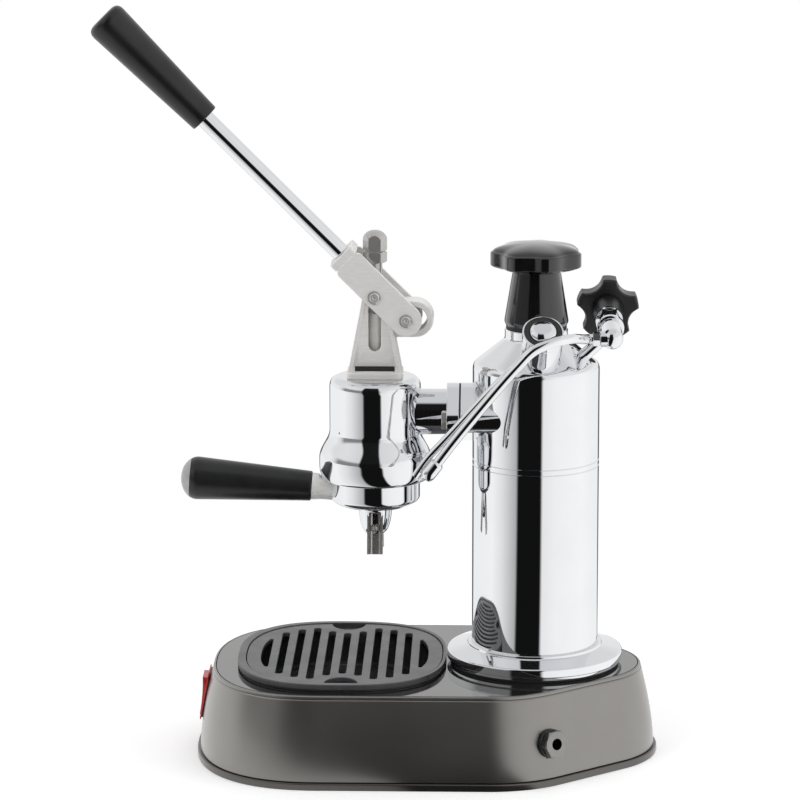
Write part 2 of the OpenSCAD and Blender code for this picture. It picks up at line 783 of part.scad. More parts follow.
// Places and directions that several pieces share
module at_boiler() { translate([boiler_x, 0, 0]) children(); }
module at_group() { translate([group_x, 0, 0]) children(); }
module at_switch() { translate([switch_face_x, 0, switch_z]) rotate([0, skirt_lean - 90, 0]) children(); }
module at_gland() {
  translate([gland_at.x, gland_at.y, gland_z])
    rotate([0, 90 - gland_lean, gland_turn])
      children();
}
module on_cone(side, r) { translate(on_cone_point(side, r)) rotate([0, cone_angle, side]) children(); }
module at_valve() { translate(valve_end) rotate([valve_tilt - 90, 0, valve_yaw]) children(); }
module at_outlet() { translate(outlet) rotate([0, -90, 0]) children(); }
module along(at, d) { translate(at) rotate([0, acos(d.z), atan2(d.y, d.x)]) children(); }
module at_lever() { translate(rear_pin_at) rotate([0, lever_angle - 180, 0]) children(); }
module along_lever() { at_lever() rotate([0, 90, 0]) children(); }
module at_handle() {
  translate([group_x, 0, handle_z])
    rotate([0, handle_rise - 90, 0])
      children();
}
module along_y(at) { translate(at) rotate([-90, 0, 0]) children(); }
module along_x() { translate([0, 0, pipe_z]) rotate([0, 90, 0]) children(); }

// The boiler's outer form, grown by a gap, for pieces that sit against it
module boiler_form(gap) {
  at_boiler()
    rotate_extrude()
      polygon(concat([[0, boiler_foot_z], [boiler_r + gap, boiler_foot_z]],
        [for (p = shoulder_curve) p + [gap, 0]],
        [[neck_r + gap, cone_top_z], [neck_r + gap, neck_z + gap], [0, neck_z + gap]]));
}

module base_shell() {
  color(gunmetal)
  difference() {
    union() {
      loft([for (p = skirt_profile) ring_at(deck_outline(p[0]), p[1])]);
      for (p = posts)
        translate([p.x, p.y, 0])
          bar(post_r, cover_t + seat, deck_z - sheet_t / 2);
    }
    translate([grille_x, 0, 0])
      prism(oval(basin_a + tray_wall + free, basin_b + tray_wall + free, tray_power),
        edge_z - cut, deck_z + cut);
    at_boiler()
      bar(boiler_r + free, edge_z - cut, deck_z + cut);
    at_gland()
      bar(gland_thread_r + free, -gland_thread_l, gland_thread_l);
    at_switch()
      cube([switch_l + free, switch_w + free, switch_depth], center = true);
    for (p = posts)
      translate([p.x, p.y, 0])
        bar(screw_r + seat, cover_t - cut, cover_t + screw_l + cut);
  }
}

module bottom_cover() {
  color(black)
  difference() {
    prism(deck_outline(skirt_flare + trim_lip), 0, trim_h);
    prism(deck_outline(skirt_flare + trim_lip - trim_w), cover_t, trim_h + cut);
    for (p = posts)
      translate([p.x, p.y, 0]) {
        bar(screw_head_r + free, -cut, screw_head_h + seat);
        bar(screw_r + free / 2, 0, cover_t + cut);
      }
  }
}

module cover_screws() {
  color(nickel)
  for (p = posts)
    translate([p.x, p.y, 0]) {
      bar(screw_head_r, 2 * seat, screw_head_h);
      bar(screw_r, screw_head_h - seat, cover_t + screw_l);
    }
}

module switch_housing() {
  color(black)
  at_switch()
  difference() {
    union() {
      translate([-switch_l / 2, -switch_w / 2, -switch_depth])
        cube([switch_l, switch_w, switch_depth + switch_lift + switch_frame_h / 2]);
      translate([-switch_l / 2 - switch_frame, -switch_w / 2 - switch_frame, switch_lift])
        cube([switch_l + 2 * switch_frame, switch_w + 2 * switch_frame, switch_frame_h]);
    }
    translate([switch_wall - switch_l / 2, switch_wall - switch_w / 2, 2 * switch_wall - switch_depth])
      cube([switch_l - 2 * switch_wall, switch_w - 2 * switch_wall, switch_depth + switch_frame_h]);
    translate([0, 0, -rocker_pivot])
      rotate([90, 0, 0])
        cylinder(r = rocker_pin_r + run, h = switch_w - switch_wall, center = true);
  }
}

module switch_rocker() {
  half = switch_l / 2 - switch_wall - 1;
  width = switch_w - 2 * switch_wall - 2 * free;
  outline = [[-half, 8], [-half / 2, 7.4], [0, 7.2], [half / 2, 7.4], [half, 8], [half, 2],
    [half * 0.5, -4], [-half * 0.5, -4], [-half, 2]];
  color(signal_red)
  at_switch()
  translate([0, 0, -rocker_pivot])
  rotate([90, -rocker_lean, 0]) {
    linear_extrude(width, center = true)
      polygon(outline);
    cylinder(r = rocker_pin_r, h = switch_w - switch_wall - free, center = true);
  }
}

module cable_gland() {
  ring_top = gland_lift + gland_ring_t;
  color(black)
  at_gland()
  difference() {
    union() {
      bar(gland_thread_r, -gland_thread_l, ring_top);
      bar(gland_ring_r, gland_lift, ring_top);
      hex_bar(gland_af, ring_top - seat, ring_top + gland_hex_l);
    }
    bar(gland_bore_r, -gland_thread_l - cut, ring_top + gland_hex_l + cut);
  }
}

module drip_tray() {
  rim = oval(tray_l / 2, tray_w / 2, tray_power);
  foot = oval(tray_l / 2 - tray_foot_in, tray_w / 2 - tray_foot_in, tray_power);
  color(tray_grey)
  difference() {
    union() {
      translate([tray_x, 0, 0]) {
        prism(foot, deck_z + tray_seat, deck_z + tray_seat + tray_foot_h + cut / 2);
        prism(rim, deck_z + tray_seat + tray_foot_h, rim_z);
      }
      translate([grille_x, 0, 0])
        prism(oval(basin_a + tray_wall, basin_b + tray_wall, tray_power),
          basin_z, deck_z + tray_foot_h);
    }
    translate([grille_x, 0, 0]) {
      prism(oval(grille_l / 2 + free, grille_w / 2 + free, tray_power), grille_z - tray_seat, rim_z + cut);
      prism(oval(basin_a, basin_b, tray_power), basin_z + tray_wall, rim_z + cut);
    }
  }
}

// Half length of the slot at distance x from the grille's middle, clear of edge and notches
function slot_half(x) =
  min(oval_chord(grille_l / 2 - slot_margin, grille_w / 2 - slot_margin, tray_power, x),
    grille_w / 2 - slot_margin - oval_chord(notch_w / 2, notch_d, 2, abs(x) - slot_w / 2 < 0 ? 0
      : abs(x) - slot_w / 2));

// Slot with round ends
module slot(half) {
  square([slot_w, 2 * half - slot_w], center = true);
  for (s = [-1, 1])
    translate([0, s * (half - slot_w / 2)])
      circle(r = slot_w / 2, $fn = 32);
}

// Outermost slot, whose outer side follows the grille's edge
module edge_slot(x) {
  a = grille_l / 2 - slot_margin;
  b = grille_w / 2 - slot_margin;
  inner = x - slot_w / 2;
  half = oval_chord(a, b, tray_power, inner + slot_w / 4);
  steps = 12;
  polygon(concat([[inner, half], [inner, -half]],
    [for (k = [0 : steps]) let (y = half * (2 * k / steps - 1)) [oval_chord(b, a, tray_power, y), y]]));
}

module drip_grille() {
  side = (slot_count - 1) / 2;
  last = side * slot_pitch;
  color(tray_grey)
  translate([grille_x, 0, grille_z])
  difference() {
    prism(oval(grille_l / 2, grille_w / 2, tray_power), 0, grille_t);
    for (k = [1 - side : side - 1])
      translate([k * slot_pitch, 0, -cut])
        linear_extrude(grille_t + 2 * cut)
          slot(slot_half(k * slot_pitch));
    for (s = [0, 180])
      rotate([0, 0, s])
        translate([0, 0, -cut])
          linear_extrude(grille_t + 2 * cut)
            edge_slot(last);
    for (s = [-1, 1])
      translate([0, s * grille_w / 2, 0])
        prism(oval(notch_w / 2, notch_d, 2), -cut, grille_t + cut);
  }
}

module boiler_shell() {
  inner_r = boiler_r - boiler_wall;
  cone_gap = boiler_wall / cos(cone_angle);
  seam_z = shoulder_z - seam_drop;
  outer = concat([[boiler_r, boiler_foot_z]],
    [for (z = [seam_z - seam_step, seam_z]) each [[boiler_r, z - seam_w], [boiler_r - seam_w, z - seam_w / 2],
      [boiler_r, z]]],
    shoulder_curve, [[neck_r, cone_top_z], [neck_r, neck_z]]);
  inner = [[neck_bore_r, neck_z], [neck_bore_r, cone_z(neck_bore_r) - cone_gap],
    [inner_r, cone_z(inner_r) - cone_gap], [inner_r, boiler_foot_z]];
  color(chrome)
  difference() {
    at_boiler()
      rotate_extrude()
        polygon(concat(outer, inner));
    translate([boiler_x - boiler_r - cut, 0, 0])
      along_x()
        bar(passage_r + spigot_t + free / 2, 0, boiler_wall + 2 * cut + spigot_t);
    on_cone(-safety_side, safety_at)
      bar(relief_seat_r + spigot_t + seat, -4 * boiler_wall, cut);
    along(stub_foot, stub_dir)
      bar(stub_r + seat, -4 * boiler_wall, 4 * boiler_wall);
    for (h = [sight_low, sight_high])
      along_y([boiler_x, boiler_r - 2 * boiler_wall, deck_z + h])
        bar(sight_stem_r + seat, 0, 3 * boiler_wall);
  }
}

module boiler_flange() {
  bore = boiler_r + seat;
  bead = bore + flange_bead;
  rim_top = flange_z + flange_rim_h;
  bevel = 0.8;
  // The raised part sweeps up from the rim to the bead
  sweep = [for (k = [0 : soft_n]) let (u = k / soft_n)
    [flange_r - bevel + (bead - flange_r + bevel) * u, rim_top + flange_cone_h * pow(u, 2.2)]];
  color(chrome)
  at_boiler()
    rotate_extrude()
      polygon(concat([[bore, flange_z], [flange_r - bevel, flange_z], [flange_r, flange_z + bevel],
        [flange_r, rim_top - bevel]], sweep, [[bore, flange_top_z]]));
}

module flange_gasket() {
  color(rubber)
  at_boiler()
    band(boiler_r + free, flange_r - flange_gasket_in, deck_z + seat, flange_z - seat);
}

module boiler_ring_nut() {
  top = deck_z - sheet_t - seat;
  color(brass)
  at_boiler()
    band(boiler_r + seat, boiler_r + ring_nut_w, top - ring_nut_h, top);
}

module element_plate() {
  color(brass)
  at_boiler()
  difference() {
    union() {
      bar(boiler_r + ring_nut_w, plate_z, plate_z + plate_t - seat);
      bar(boiler_r - boiler_wall - seat, plate_z, plate_z + plate_t + 3);
    }
    for (x = [-element_half, element_half], y = [-element_y, element_y])
      translate([x, y, 0])
        bar(element_r + seat, plate_z - cut, plate_z + 3 * plate_t);
    bar(pressure_stub_r + seat, plate_z - cut, plate_z + 3 * plate_t);
  }
}

module heating_element() {
  low = plate_z - 4;
  high = plate_z + plate_t + element_h;
  color(copper)
  at_boiler()
  for (y = [-element_y, element_y]) {
    for (x = [-element_half, element_half])
      translate([x, y, 0])
        bar(element_r, low, high);
    translate([0, y, high])
      rotate([90, 0, 0])
        rotate_extrude(angle = 180)
          translate([element_half, 0])
            circle(r = element_r, $fn = 32);
  }
}

module pressure_switch() {
  top = plate_z - 3;
  color(black)
  at_boiler() {
    bar(pressure_r, top - pressure_h, top);
    bar(pressure_stub_r, top - seat, plate_z + plate_t);
  }
}

// Axis of the sight glass
module at_sight() { translate([boiler_x, boiler_r + sight_out, deck_z]) children(); }

module sight_fittings() {
  color(chrome)
  for (s = [-1, 1])
    let (h = s < 0 ? sight_low : sight_high)
    difference() {
      union() {
        at_sight()
          bar(sight_body_r, h - sight_body_half, h + sight_body_half);
        along_y([boiler_x, boiler_r - 2 * boiler_wall, deck_z + h])
          bar(sight_stem_r, 0, sight_out + boiler_wall);
      }
      at_sight()
        bar(sight_r + seat, h - (s < 0 ? 0 : sight_body_half + cut), h + (s < 0 ? sight_body_half + cut : 0));
    }
}

module sight_glass() {
  color([0.8, 0.9, 0.95, 0.4])
  at_sight()
    band(sight_bore_r, sight_r, sight_low + seat, sight_high - seat);
}

module sight_shield() {
  low = sight_low + sight_body_half + seat;
  high = sight_high - sight_body_half - seat;
  color(chrome)
  at_sight()
  difference() {
    band(sight_body_r - sight_shield_t, sight_body_r, low, high);
    translate([-sight_window / 2, 0, low + 2 * sight_window])
      cube([sight_window, 2 * sight_body_r, high - low - 4 * sight_window]);
  }
}

module safety_valve_body() {
  color(chrome)
  difference() {
    on_cone(-safety_side, safety_at)
      bar(safety_r, -safety_r / 2, safety_body_l);
    boiler_form(seat);
    safety_chamber();
  }
  color(chrome)
  on_cone(-safety_side, safety_at)
    band(relief_seat_r, relief_seat_r + spigot_t, -3 * boiler_wall, relief_seat_at / 3);
}

// Bore of the safety valve, with the seat under its ball
module safety_chamber() {
  on_cone(-safety_side, safety_at) {
    bar(relief_seat_r, -safety_r, safety_body_l);
    bar(relief_bore_r, relief_seat_at, safety_body_l + cut);
  }
}

module safety_valve_cap() {
  foot = safety_body_l + seat;
  rim = foot + safety_cap_l;
  lip = 0.9;
  // Round end inside a thin raised lip
  dome_r = safety_r - 2 * lip;
  dome = [for (k = [0 : 8]) let (a = 90 * k / 8) [dome_r * cos(a), rim - lip + safety_dome_h * sin(a)]];
  color(chrome)
  on_cone(-safety_side, safety_at)
    rotate_extrude()
      polygon(concat([[0, foot - 2], [relief_bore_r - free, foot - 2], [relief_bore_r - free, foot],
        [safety_r, foot], [safety_r, rim], [safety_r - lip, rim + lip / 2]], dome));
}

module relief_ball() {
  color(nickel)
  on_cone(-safety_side, safety_at)
    translate([0, 0, relief_ball_at])
      sphere(r = relief_ball_r);
}

// The ball lies free above its seat; the spring runs from the ball to the cap
relief_ball_at = relief_seat_at + sqrt(pow(relief_ball_r + free, 2) - pow(relief_seat_r, 2));
relief_low = relief_ball_at + sqrt(pow(relief_ball_r + relief_wire_r + free, 2) - pow(relief_coil_r, 2));
relief_high = safety_body_l - 2 - relief_wire_r;
relief_rings = 10;
relief_path = [for (i = [0 : relief_turns * relief_rings])
  let (t = 360 * i / relief_rings, u = i / (relief_turns * relief_rings))
  [relief_coil_r * cos(t), relief_coil_r * sin(t), relief_low + (relief_high - relief_low) * u]];
echo(relief_spring_gap = (relief_high - relief_low) / relief_turns - 2 * relief_wire_r);

module relief_spring() {
  color(nickel)
  on_cone(-safety_side, safety_at)
    tube(relief_path, relief_wire_r, 6, [0, 0, 1]);
}

module dip_tube() {
  start_x = saddle_x + saddle_t / 2;
  bend_x = spigot_x + 2;
  outer = passage_r - seat;
  inner = passage_r - 1.2;
  color(copper) {
    translate([start_x, 0, 0])
      along_x()
        band(inner, outer, 0, bend_x - start_x);
    translate([bend_x, 0, pipe_z - dip_bend])
      rotate([90, 0, 0])
        rotate_extrude(angle = 90)
          translate([dip_bend, 0])
            difference() {
              circle(r = outer);
              circle(r = inner);
            }
    translate([bend_x + dip_bend, 0, 0])
      band(inner, outer, deck_z + dip_foot, pipe_z - dip_bend);
  }
}

module cap_seal() {
  color(rubber)
  at_boiler()
    band(neck_bore_r + free, neck_r - 2 * free, neck_z + 2 * seat, neck_z + 2 * seat + cap_seal_t);
}

module cap_plug() {
  collar_z = neck_z + cap_seal_t + 4 * seat;
  cone_z0 = neck_z + cap_gap;
  color(brass)
  at_boiler() {
    bar(neck_bore_r - run, neck_z - cap_plug_l, collar_z + seat);
    bar(neck_r - 2 * free, collar_z, cone_z0 - seat);
    bar(cap_stud_r, cone_z0 - cut, cone_z0 + cap_stud_l);
  }
}

module cap_knob() {
  z0 = neck_z + cap_gap;
  z1 = z0 + cap_cone_h;
  z2 = z1 + cap_under_h;
  z3 = z2 + cap_rim_h;
  bevel = 0.8;
  star_r = cap_star_r - bevel / 2;
  rings = concat(
    [[cap_top_r - 1, 0, z1 - 1], [cap_star_r * 0.8, 0.6, z1 + cap_under_h * 0.45],
      [star_r, 1, z2], [cap_star_r, 1, z2 + bevel], [cap_star_r, 1, z3 - bevel]],
    [for (k = [0 : 5]) let (a = 15 * k)
      [star_r * cos(a), cos(a) * cos(a), z3 + cap_dome_h * sin(a) - (k == 0 ? bevel / 2 : 0)]]);
  color(black)
  at_boiler()
  difference() {
    union() {
      rotate_extrude()
        polygon([[0, z0], [cap_base_r - 1, z0], [cap_base_r, z0 + 2], [cap_top_r, z1], [0, z1]]);
      rotate([0, 0, cap_turn])
        loft([for (q = rings) ring_at(star(q[0], cap_lobe_depth * q[1], cap_lobes), q[2])]);
    }
    bar(cap_stud_r + seat, z0 - cut, z0 + cap_stud_l + seat);
  }
}

module steam_valve_body() {
  color(chrome)
  difference() {
    union() {
      along(stub_foot, stub_dir)
        bar(stub_r, -2 * boiler_wall, stub_l);
      at_valve()
        rotate_extrude()
          polygon(concat([for (k = [0 : 8]) let (a = 90 * k / 8) valve_r * [sin(a), 1 - cos(a)]],
            [[valve_r, valve_l], [collar_r, valve_l + 0.6], [collar_r, collar_top],
            [valve_thread_r, collar_top], [valve_thread_r, collar_top + valve_thread_l],
            [0, collar_top + valve_thread_l]]));
      at_outlet()
        bar(outlet_r, 0, outlet_l);
    }
    at_valve() {
      bar(chamber_r, seat_disc_at - cut, 2 * valve_l);
      bar(spindle_r - cut, outlet_at - cut, valve_l);
    }
    at_outlet() {
      bar(wand_r + run, wand_in - free, outlet_l + cut);
      bar(wand_r - cut, -cut, outlet_l);
    }
    along(stub_foot, stub_dir)
      bar(passage_r / 2, -3 * boiler_wall, stub_l - passage_r / 2);
  }
}

module steam_gland_nut() {
  hex_end = gland_nut_at + gland_nut_l;
  color(nickel)
  at_valve()
  difference() {
    union() {
      hex_bar(gland_nut_af, gland_nut_at, hex_end);
      bar(collar_r, hex_end - seat, gland_nut_end);
    }
    bar(spindle_r + run, gland_nut_at - cut, gland_nut_end + cut);
    bar(valve_thread_r + seat, gland_nut_at - cut, collar_top + valve_thread_l + seat);
  }
}

module steam_seat_disc() {
  color(rubber)
  at_valve()
    bar(spindle_r, seat_disc_at, seat_disc_at + seat_disc_t);
}

module steam_spindle() {
  color(nickel)
  at_valve()
    bar(spindle_r, seat_disc_at + seat_disc_t + 2 * seat, knob_at + steam_hub_l + steam_knob_t / 2);
}

module steam_knob() {
  star_at = knob_at + steam_hub_l;
  levels = [[0.9, 0], [1, 0.15], [1, 0.75], [0.9, 0.9], [0.55, 1]];
  color(black)
  at_valve()
  difference() {
    union() {
      rotate_extrude()
        polygon([[0, knob_at], [collar_r - 1, knob_at], [steam_hub_r, star_at], [steam_hub_r, star_at + 2],
          [0, star_at + 2]]);
      rotate([0, 0, steam_knob_turn])
        loft([for (q = levels) ring_at(star(steam_knob_r * q[0], steam_lobe_depth * q[0], steam_knob_lobes),
          star_at + steam_knob_t * q[1])]);
    }
    bar(spindle_r + seat, knob_at - cut, star_at + steam_knob_t / 2 + seat);
  }
}

module wand_nut() {
  color(chrome)
  at_outlet()
  difference() {
    hex_bar(wand_nut_af, outlet_l + seat, outlet_l + seat + wand_nut_l);
    bar(wand_r + run, outlet_l - cut, outlet_l + wand_nut_l + cut);
  }
}

module steam_wand() {
  color(chrome) {
    tube(curve(wand_route, 4), wand_r - run, 14, [0.45, -0.75, 0.5]);
    at_outlet()
      bar(wand_r, wand_in, wand_out);
  }
}

module wand_tip() {
  color(chrome)
  along(wand_end + seat * wand_end_dir, wand_end_dir)
  difference() {
    rotate_extrude()
      polygon([[0, 0], [wand_r, 0], [tip_r, 1.5], [tip_r, tip_l - 2], [tip_r - 1.5, tip_l], [0, tip_l]]);
    bar(0.9, tip_l - 5, tip_l + cut);
  }
}

module wand_side_tube() {
  color(chrome)
    tube(curve(side_route, 4), side_r, 10, [0.45, -0.75, 0.5]);
}

// Outline of the group's flange in the plane across the neck, lying on its side
flange_outline = belt([[[0, 0], group_flange_r],
  for (y = [-group_bolt_y, group_bolt_y]) [[0, y], group_ear_r]]);

module group_saddle() {
  color(chrome)
  difference() {
    union() {
      difference() {
        translate([saddle_x, 0, 0])
          along_x()
            prism(flange_outline, 0, saddle_t + boiler_r / 2);
        boiler_form(seat);
      }
      translate([saddle_x, 0, 0])
        along_x()
          bar(passage_r + spigot_t, cut, spigot_x - saddle_x);
    }
    translate([saddle_x, 0, 0])
      along_x() {
        bar(passage_r, -cut, spigot_x - saddle_x + cut);
        for (y = [-group_bolt_y, group_bolt_y])
          translate([0, y, 0])
            bar(group_bolt_r + seat, -cut, group_bolt_deep + cut);
      }
  }
}

module group_gasket() {
  color(rubber)
  translate([group_face_x + seat, 0, 0])
  along_x()
  difference() {
    prism(flange_outline, 0, group_gasket_t);
    bar(passage_r, -cut, group_gasket_t + cut);
    for (y = [-group_bolt_y, group_bolt_y])
      translate([0, y, 0])
        bar(group_bolt_r + free / 2, -cut, group_gasket_t + cut);
  }
}

module group_body() {
  top = [for (k = [0 : soft_n]) let (a = 90 * k / soft_n)
    [group_r - group_top_soft * (1 - sin(a)), group_top_z - group_top_soft * (1 - cos(a))]];
  // The bell narrows to the cylinder in a smooth S
  narrow = [for (k = [0 : 8]) let (u = k / 8)
    [group_r + (bell_r - group_r) * (1 - cos(180 * u)) / 2, bell_z + bell_h + (bell_wide_h - bell_h) * u]];
  edge = [for (k = [0 : soft_n]) let (a = 90 * k / soft_n)
    [bell_edge_r + (bell_r - bell_edge_r) * cos(a), bell_z + bell_round_h * (1 - sin(a))]];
  inside = [[lip_r, bell_z], [lip_r, bell_z + lip_h], [groove_r, bell_z + lip_h],
    [groove_r, gasket_z + seal_t + seat], [sleeve_r + seat, gasket_z + seal_t + seat],
    [sleeve_r + seat, ceiling_z], [bush_r + seat, ceiling_z], [bush_r + seat, group_top_z]];
  pipe_l = group_face_x - group_x;
  color(chrome)
  difference() {
    union() {
      at_group()
        rotate_extrude()
          polygon(concat(top, narrow, edge, inside));
      difference() {
        at_group()
          along_x() {
            bar(group_neck_r, 0, pipe_l - group_flange_t / 2);
            prism(flange_outline, pipe_l - group_flange_t, pipe_l);
          }
        at_group()
          bar(group_r - 1, bell_z, group_top_z);
      }
    }
    at_group()
      along_x() {
        bar(passage_r, 0, pipe_l + cut);
        for (y = [-group_bolt_y, group_bolt_y])
          translate([0, y, 0])
            bar(group_bolt_r + free / 2, pipe_l - group_flange_t - cut, pipe_l + cut);
      }
    at_group()
      for (s = [0, 180])
        rotate([0, 0, 90 - lock_turn - lug_angle / 2 - 4 + s])
          translate([0, 0, bell_z - cut])
            rotate_extrude(angle = lug_angle + 8)
              translate([lip_r - cut, 0])
                square([groove_r - lip_r + cut - free, lip_h + 2 * cut]);
  }
}

module group_bolts() {
  face = group_face_x - group_flange_t - seat;
  color(nickel)
  for (y = [-group_bolt_y, group_bolt_y])
    translate([face, y, 0])
      along_x() {
        hex_bar(group_bolt_af, -group_bolt_head, 0);
        bar(group_bolt_r, -seat, saddle_x - face + group_bolt_deep);
      }
}

module cylinder_sleeve() {
  color(brass)
  difference() {
    at_group()
      band(sleeve_bore_r, sleeve_r, sleeve_foot_z, ceiling_z - seat);
    at_group()
      along_x()
        bar(passage_r - 1, 0, sleeve_r + cut);
  }
}

module shower_screen() {
  top = sleeve_foot_z - seat;
  low = top - screen_rim_h - screen_t;
  color(nickel)
  at_group()
  difference() {
    union() {
      bar(sleeve_r - free, low, low + screen_t);
      band(sleeve_bore_r, sleeve_r - free, low, top);
    }
    for (ring = [1 : 3], k = [0 : 6 * ring - 1])
      rotate([0, 0, 360 * k / (6 * ring)])
        translate([ring * sleeve_bore_r / 4, 0, 0])
          bar(screen_hole_r, low - cut, low + screen_t + cut);
  }
}

module portafilter_gasket() {
  color(rubber)
  at_group()
    band(sleeve_r + free, groove_r - seat, gasket_z, gasket_z + seal_t);
}

// Side outline of the tower, with its ear
module tower_outline(inset) {
  foot = inset > 0 ? tower_foot_h + inset : 0;
  polygon([[inset - tower_foot_half, foot], [tower_foot_half - inset, foot],
    [tower_top_half - inset, tower_h], [inset - tower_top_half, tower_h]]);
}

module lever_tower() {
  base = [group_x, 0, group_top_z + seat];
  ear_h = ear_z - base.z;
  color(nickel)
  difference() {
    union() {
      translate(base)
        rotate([90, 0, 0])
          linear_extrude(tower_t, center = true)
            tower_outline(0);
      translate(base - [tower_foot_half, tower_foot_t / 2, 0])
        cube([2 * tower_foot_half, tower_foot_t, tower_foot_h]);
      translate([0, 0, ear_z])
        translate([group_x, -ear_t / 2, -ear_r])
          cube([ear_x, ear_t, 2 * ear_r]);
      along_y([group_x + ear_x, 0, ear_z])
        cylinder(r = ear_r, h = ear_t, center = true);
    }
    // Panels set into the front and back faces
    for (s = [-1, 1])
      translate(base + [0, s * (tower_t - panel_in + cut) / 2, 0])
        rotate([90, 0, 0])
          linear_extrude(panel_in + cut, center = true)
            tower_outline(panel_rail);
    at_group() {
      bar(bush_r + seat, base.z - cut, group_top_z + bush_top + seat);
      bar(block_r + free, group_top_z + bush_top, tower_top_z + cut);
    }
    // Slot for the front pin, and the wider mouth for the nuts, open towards the lever
    translate([group_x - tower_slot_w / 2, -tower_t, group_top_z + tower_slot_foot + tower_slot_w / 2])
      cube([tower_slot_w, 2 * tower_t, tower_h]);
    along_y([group_x, 0, group_top_z + tower_slot_foot + tower_slot_w / 2])
      cylinder(r = tower_slot_w / 2, h = 2 * tower_t, center = true);
    at_group()
      bar(nut_corner + free, mouth_z, tower_top_z + cut);
    translate([group_x - tower_foot_half, -mouth_half, mouth_z])
      cube([tower_foot_half, 2 * mouth_half, tower_h]);
    // Slot for the roller
    translate([group_x + ear_slot_x, -tower_t, ear_z - ear_slot_r])
      cube([ear_x - ear_slot_x, 2 * tower_t, 2 * ear_slot_r]);
    along_y([group_x + ear_x, 0, ear_z])
      cylinder(r = ear_slot_r, h = 2 * tower_t, center = true);
  }
}

module rod_bush() {
  color(brass)
  at_group()
  difference() {
    union() {
      bar(bush_head_r, ceiling_z - bush_head_t, ceiling_z - seat);
      bar(bush_r, ceiling_z - bush_head_t, group_top_z + bush_top);
    }
    bar(rod_r + run, ceiling_z - bush_head_t - cut, group_top_z + bush_top + cut);
  }
}

module piston_rod() {
  color(nickel)
  at_group() {
    bar(rod_r, piston_foot_z + 3, pin_z - pin_r - 2);
  }
}

module piston_head() {
  groove = 3;
  color(brass)
  at_group()
  difference() {
    bar(piston_r, piston_foot_z, piston_top_z);
    for (z = [piston_foot_z + 2, piston_top_z - 2 - groove])
      band(piston_r - 2.5, piston_r + cut, z, z + groove);
    bar(rod_r + seat, piston_foot_z + 3 - seat, piston_top_z + cut);
  }
}

module piston_seals() {
  groove = 3;
  color(rubber)
  at_group()
  for (z = [piston_foot_z + 2, piston_top_z - 2 - groove])
    band(piston_r - 2.5 + seat, sleeve_bore_r - run, z + seat, z + groove - seat);
}

module rod_head() {
  low = pin_z - block_below;
  neck = pin_z + block_above;
  color(nickel)
  difference() {
    at_group()
      rotate_extrude()
        polygon([[0, low], [block_r - 0.5, low], [block_r, low + 0.5], [block_r, neck],
          [block_neck_r, neck + 6], [block_neck_r, nut_z - seat], [rod_r, nut_z - seat],
          [rod_r, acorn_z + 4], [0, acorn_z + 4]]);
    at_group()
      bar(rod_r + seat, low - cut, pin_z - pin_r - 2 + seat);
    along_y(front_pin)
      cylinder(r = pin_r + seat, h = 4 * block_r, center = true);
  }
}

module rod_nuts() {
  round_h = 6;
  dome = [for (k = [0 : 8]) let (a = 90 * k / 8)
    [nut_corner * cos(a), acorn_z + acorn_h - round_h + round_h * sin(a)]];
  color(nickel)
  at_group() {
    difference() {
      hex_bar(nut_af, nut_z, nut_z + lock_nut_h);
      bar(rod_r + seat, nut_z - cut, nut_z + lock_nut_h + cut);
    }
    difference() {
      intersection() {
        hex_bar(nut_af, acorn_z, acorn_z + acorn_h);
        rotate_extrude()
          polygon(concat([[0, acorn_z], [nut_corner, acorn_z]], dome));
      }
      bar(rod_r + seat, acorn_z - cut, acorn_z + 4 + seat);
    }
  }
}

// Cross pin with a clip in a groove near each end
module clipped_pin(at) {
  groove_r = pin_r - 0.6;
  color(nickel)
  along_y(at) {
    difference() {
      cylinder(r = pin_r, h = 2 * pin_half, center = true);
      for (s = [-1, 1])
        band(groove_r, pin_r + cut, s * (clip_at + clip_t / 2) - clip_t / 2 - seat,
          s * (clip_at + clip_t / 2) + clip_t / 2 + seat);
    }
    for (s = [-1, 1])
      band(groove_r + seat, clip_r, s * (clip_at + clip_t / 2) - clip_t / 2,
        s * (clip_at + clip_t / 2) + clip_t / 2);
  }
}

module piston_pin() { clipped_pin(front_pin); }

module rear_pin() { clipped_pin(rear_pin_at); }

module rear_roller() {
  color(nickel)
  along_y(rear_pin_at)
  difference() {
    cylinder(r = roller_r, h = ear_t, center = true);
    cylinder(r = pin_r + run, h = 2 * ear_t, center = true);
  }
}

module lever_fork() {
  outer = fork_y + fork_t;
  corner = fork_w / 2 - fork_soft;
  plate_l = fork_l - bridge_t + cut;
  bridge_half = fork_w / 2 - 0.5;
  color(nickel)
  difference() {
    union() {
      for (s = [-1, 1])
        at_lever()
          translate([0, s * (fork_y + fork_t / 2), 0])
            rotate([90, 0, 0])
              linear_extrude(fork_t, center = true) {
                circle(r = fork_w / 2);
                translate([0, -fork_w / 2])
                  square([plate_l - fork_soft, fork_w]);
                translate([0, -corner])
                  square([plate_l, 2 * corner]);
                for (c = [-corner, corner])
                  translate([plate_l - fork_soft, c])
                    circle(r = fork_soft);
              }
      at_lever()
        translate([fork_l - bridge_t, 0.3 - outer, -bridge_half])
          cube([bridge_t, 2 * outer - 0.6, 2 * bridge_half]);
    }
    along_y(front_pin)
      cylinder(r = pin_r + run, h = 4 * outer, center = true);
    along_y(rear_pin_at)
      cylinder(r = pin_r + seat, h = 4 * outer, center = true);
    along_lever()
      bar(lever_stud_r + seat, fork_l - 4 * bridge_t, fork_l + cut);
  }
}

module lever_rod() {
  end = fork_l + seat + lever_rod_l;
  color(chrome)
  along_lever() {
    bar(lever_stud_r, fork_l - bridge_t, fork_l + cut);
    bar(lever_rod_r, fork_l + seat, end);
    bar(lever_stud_r, end - cut, end + lever_stud_l);
  }
}

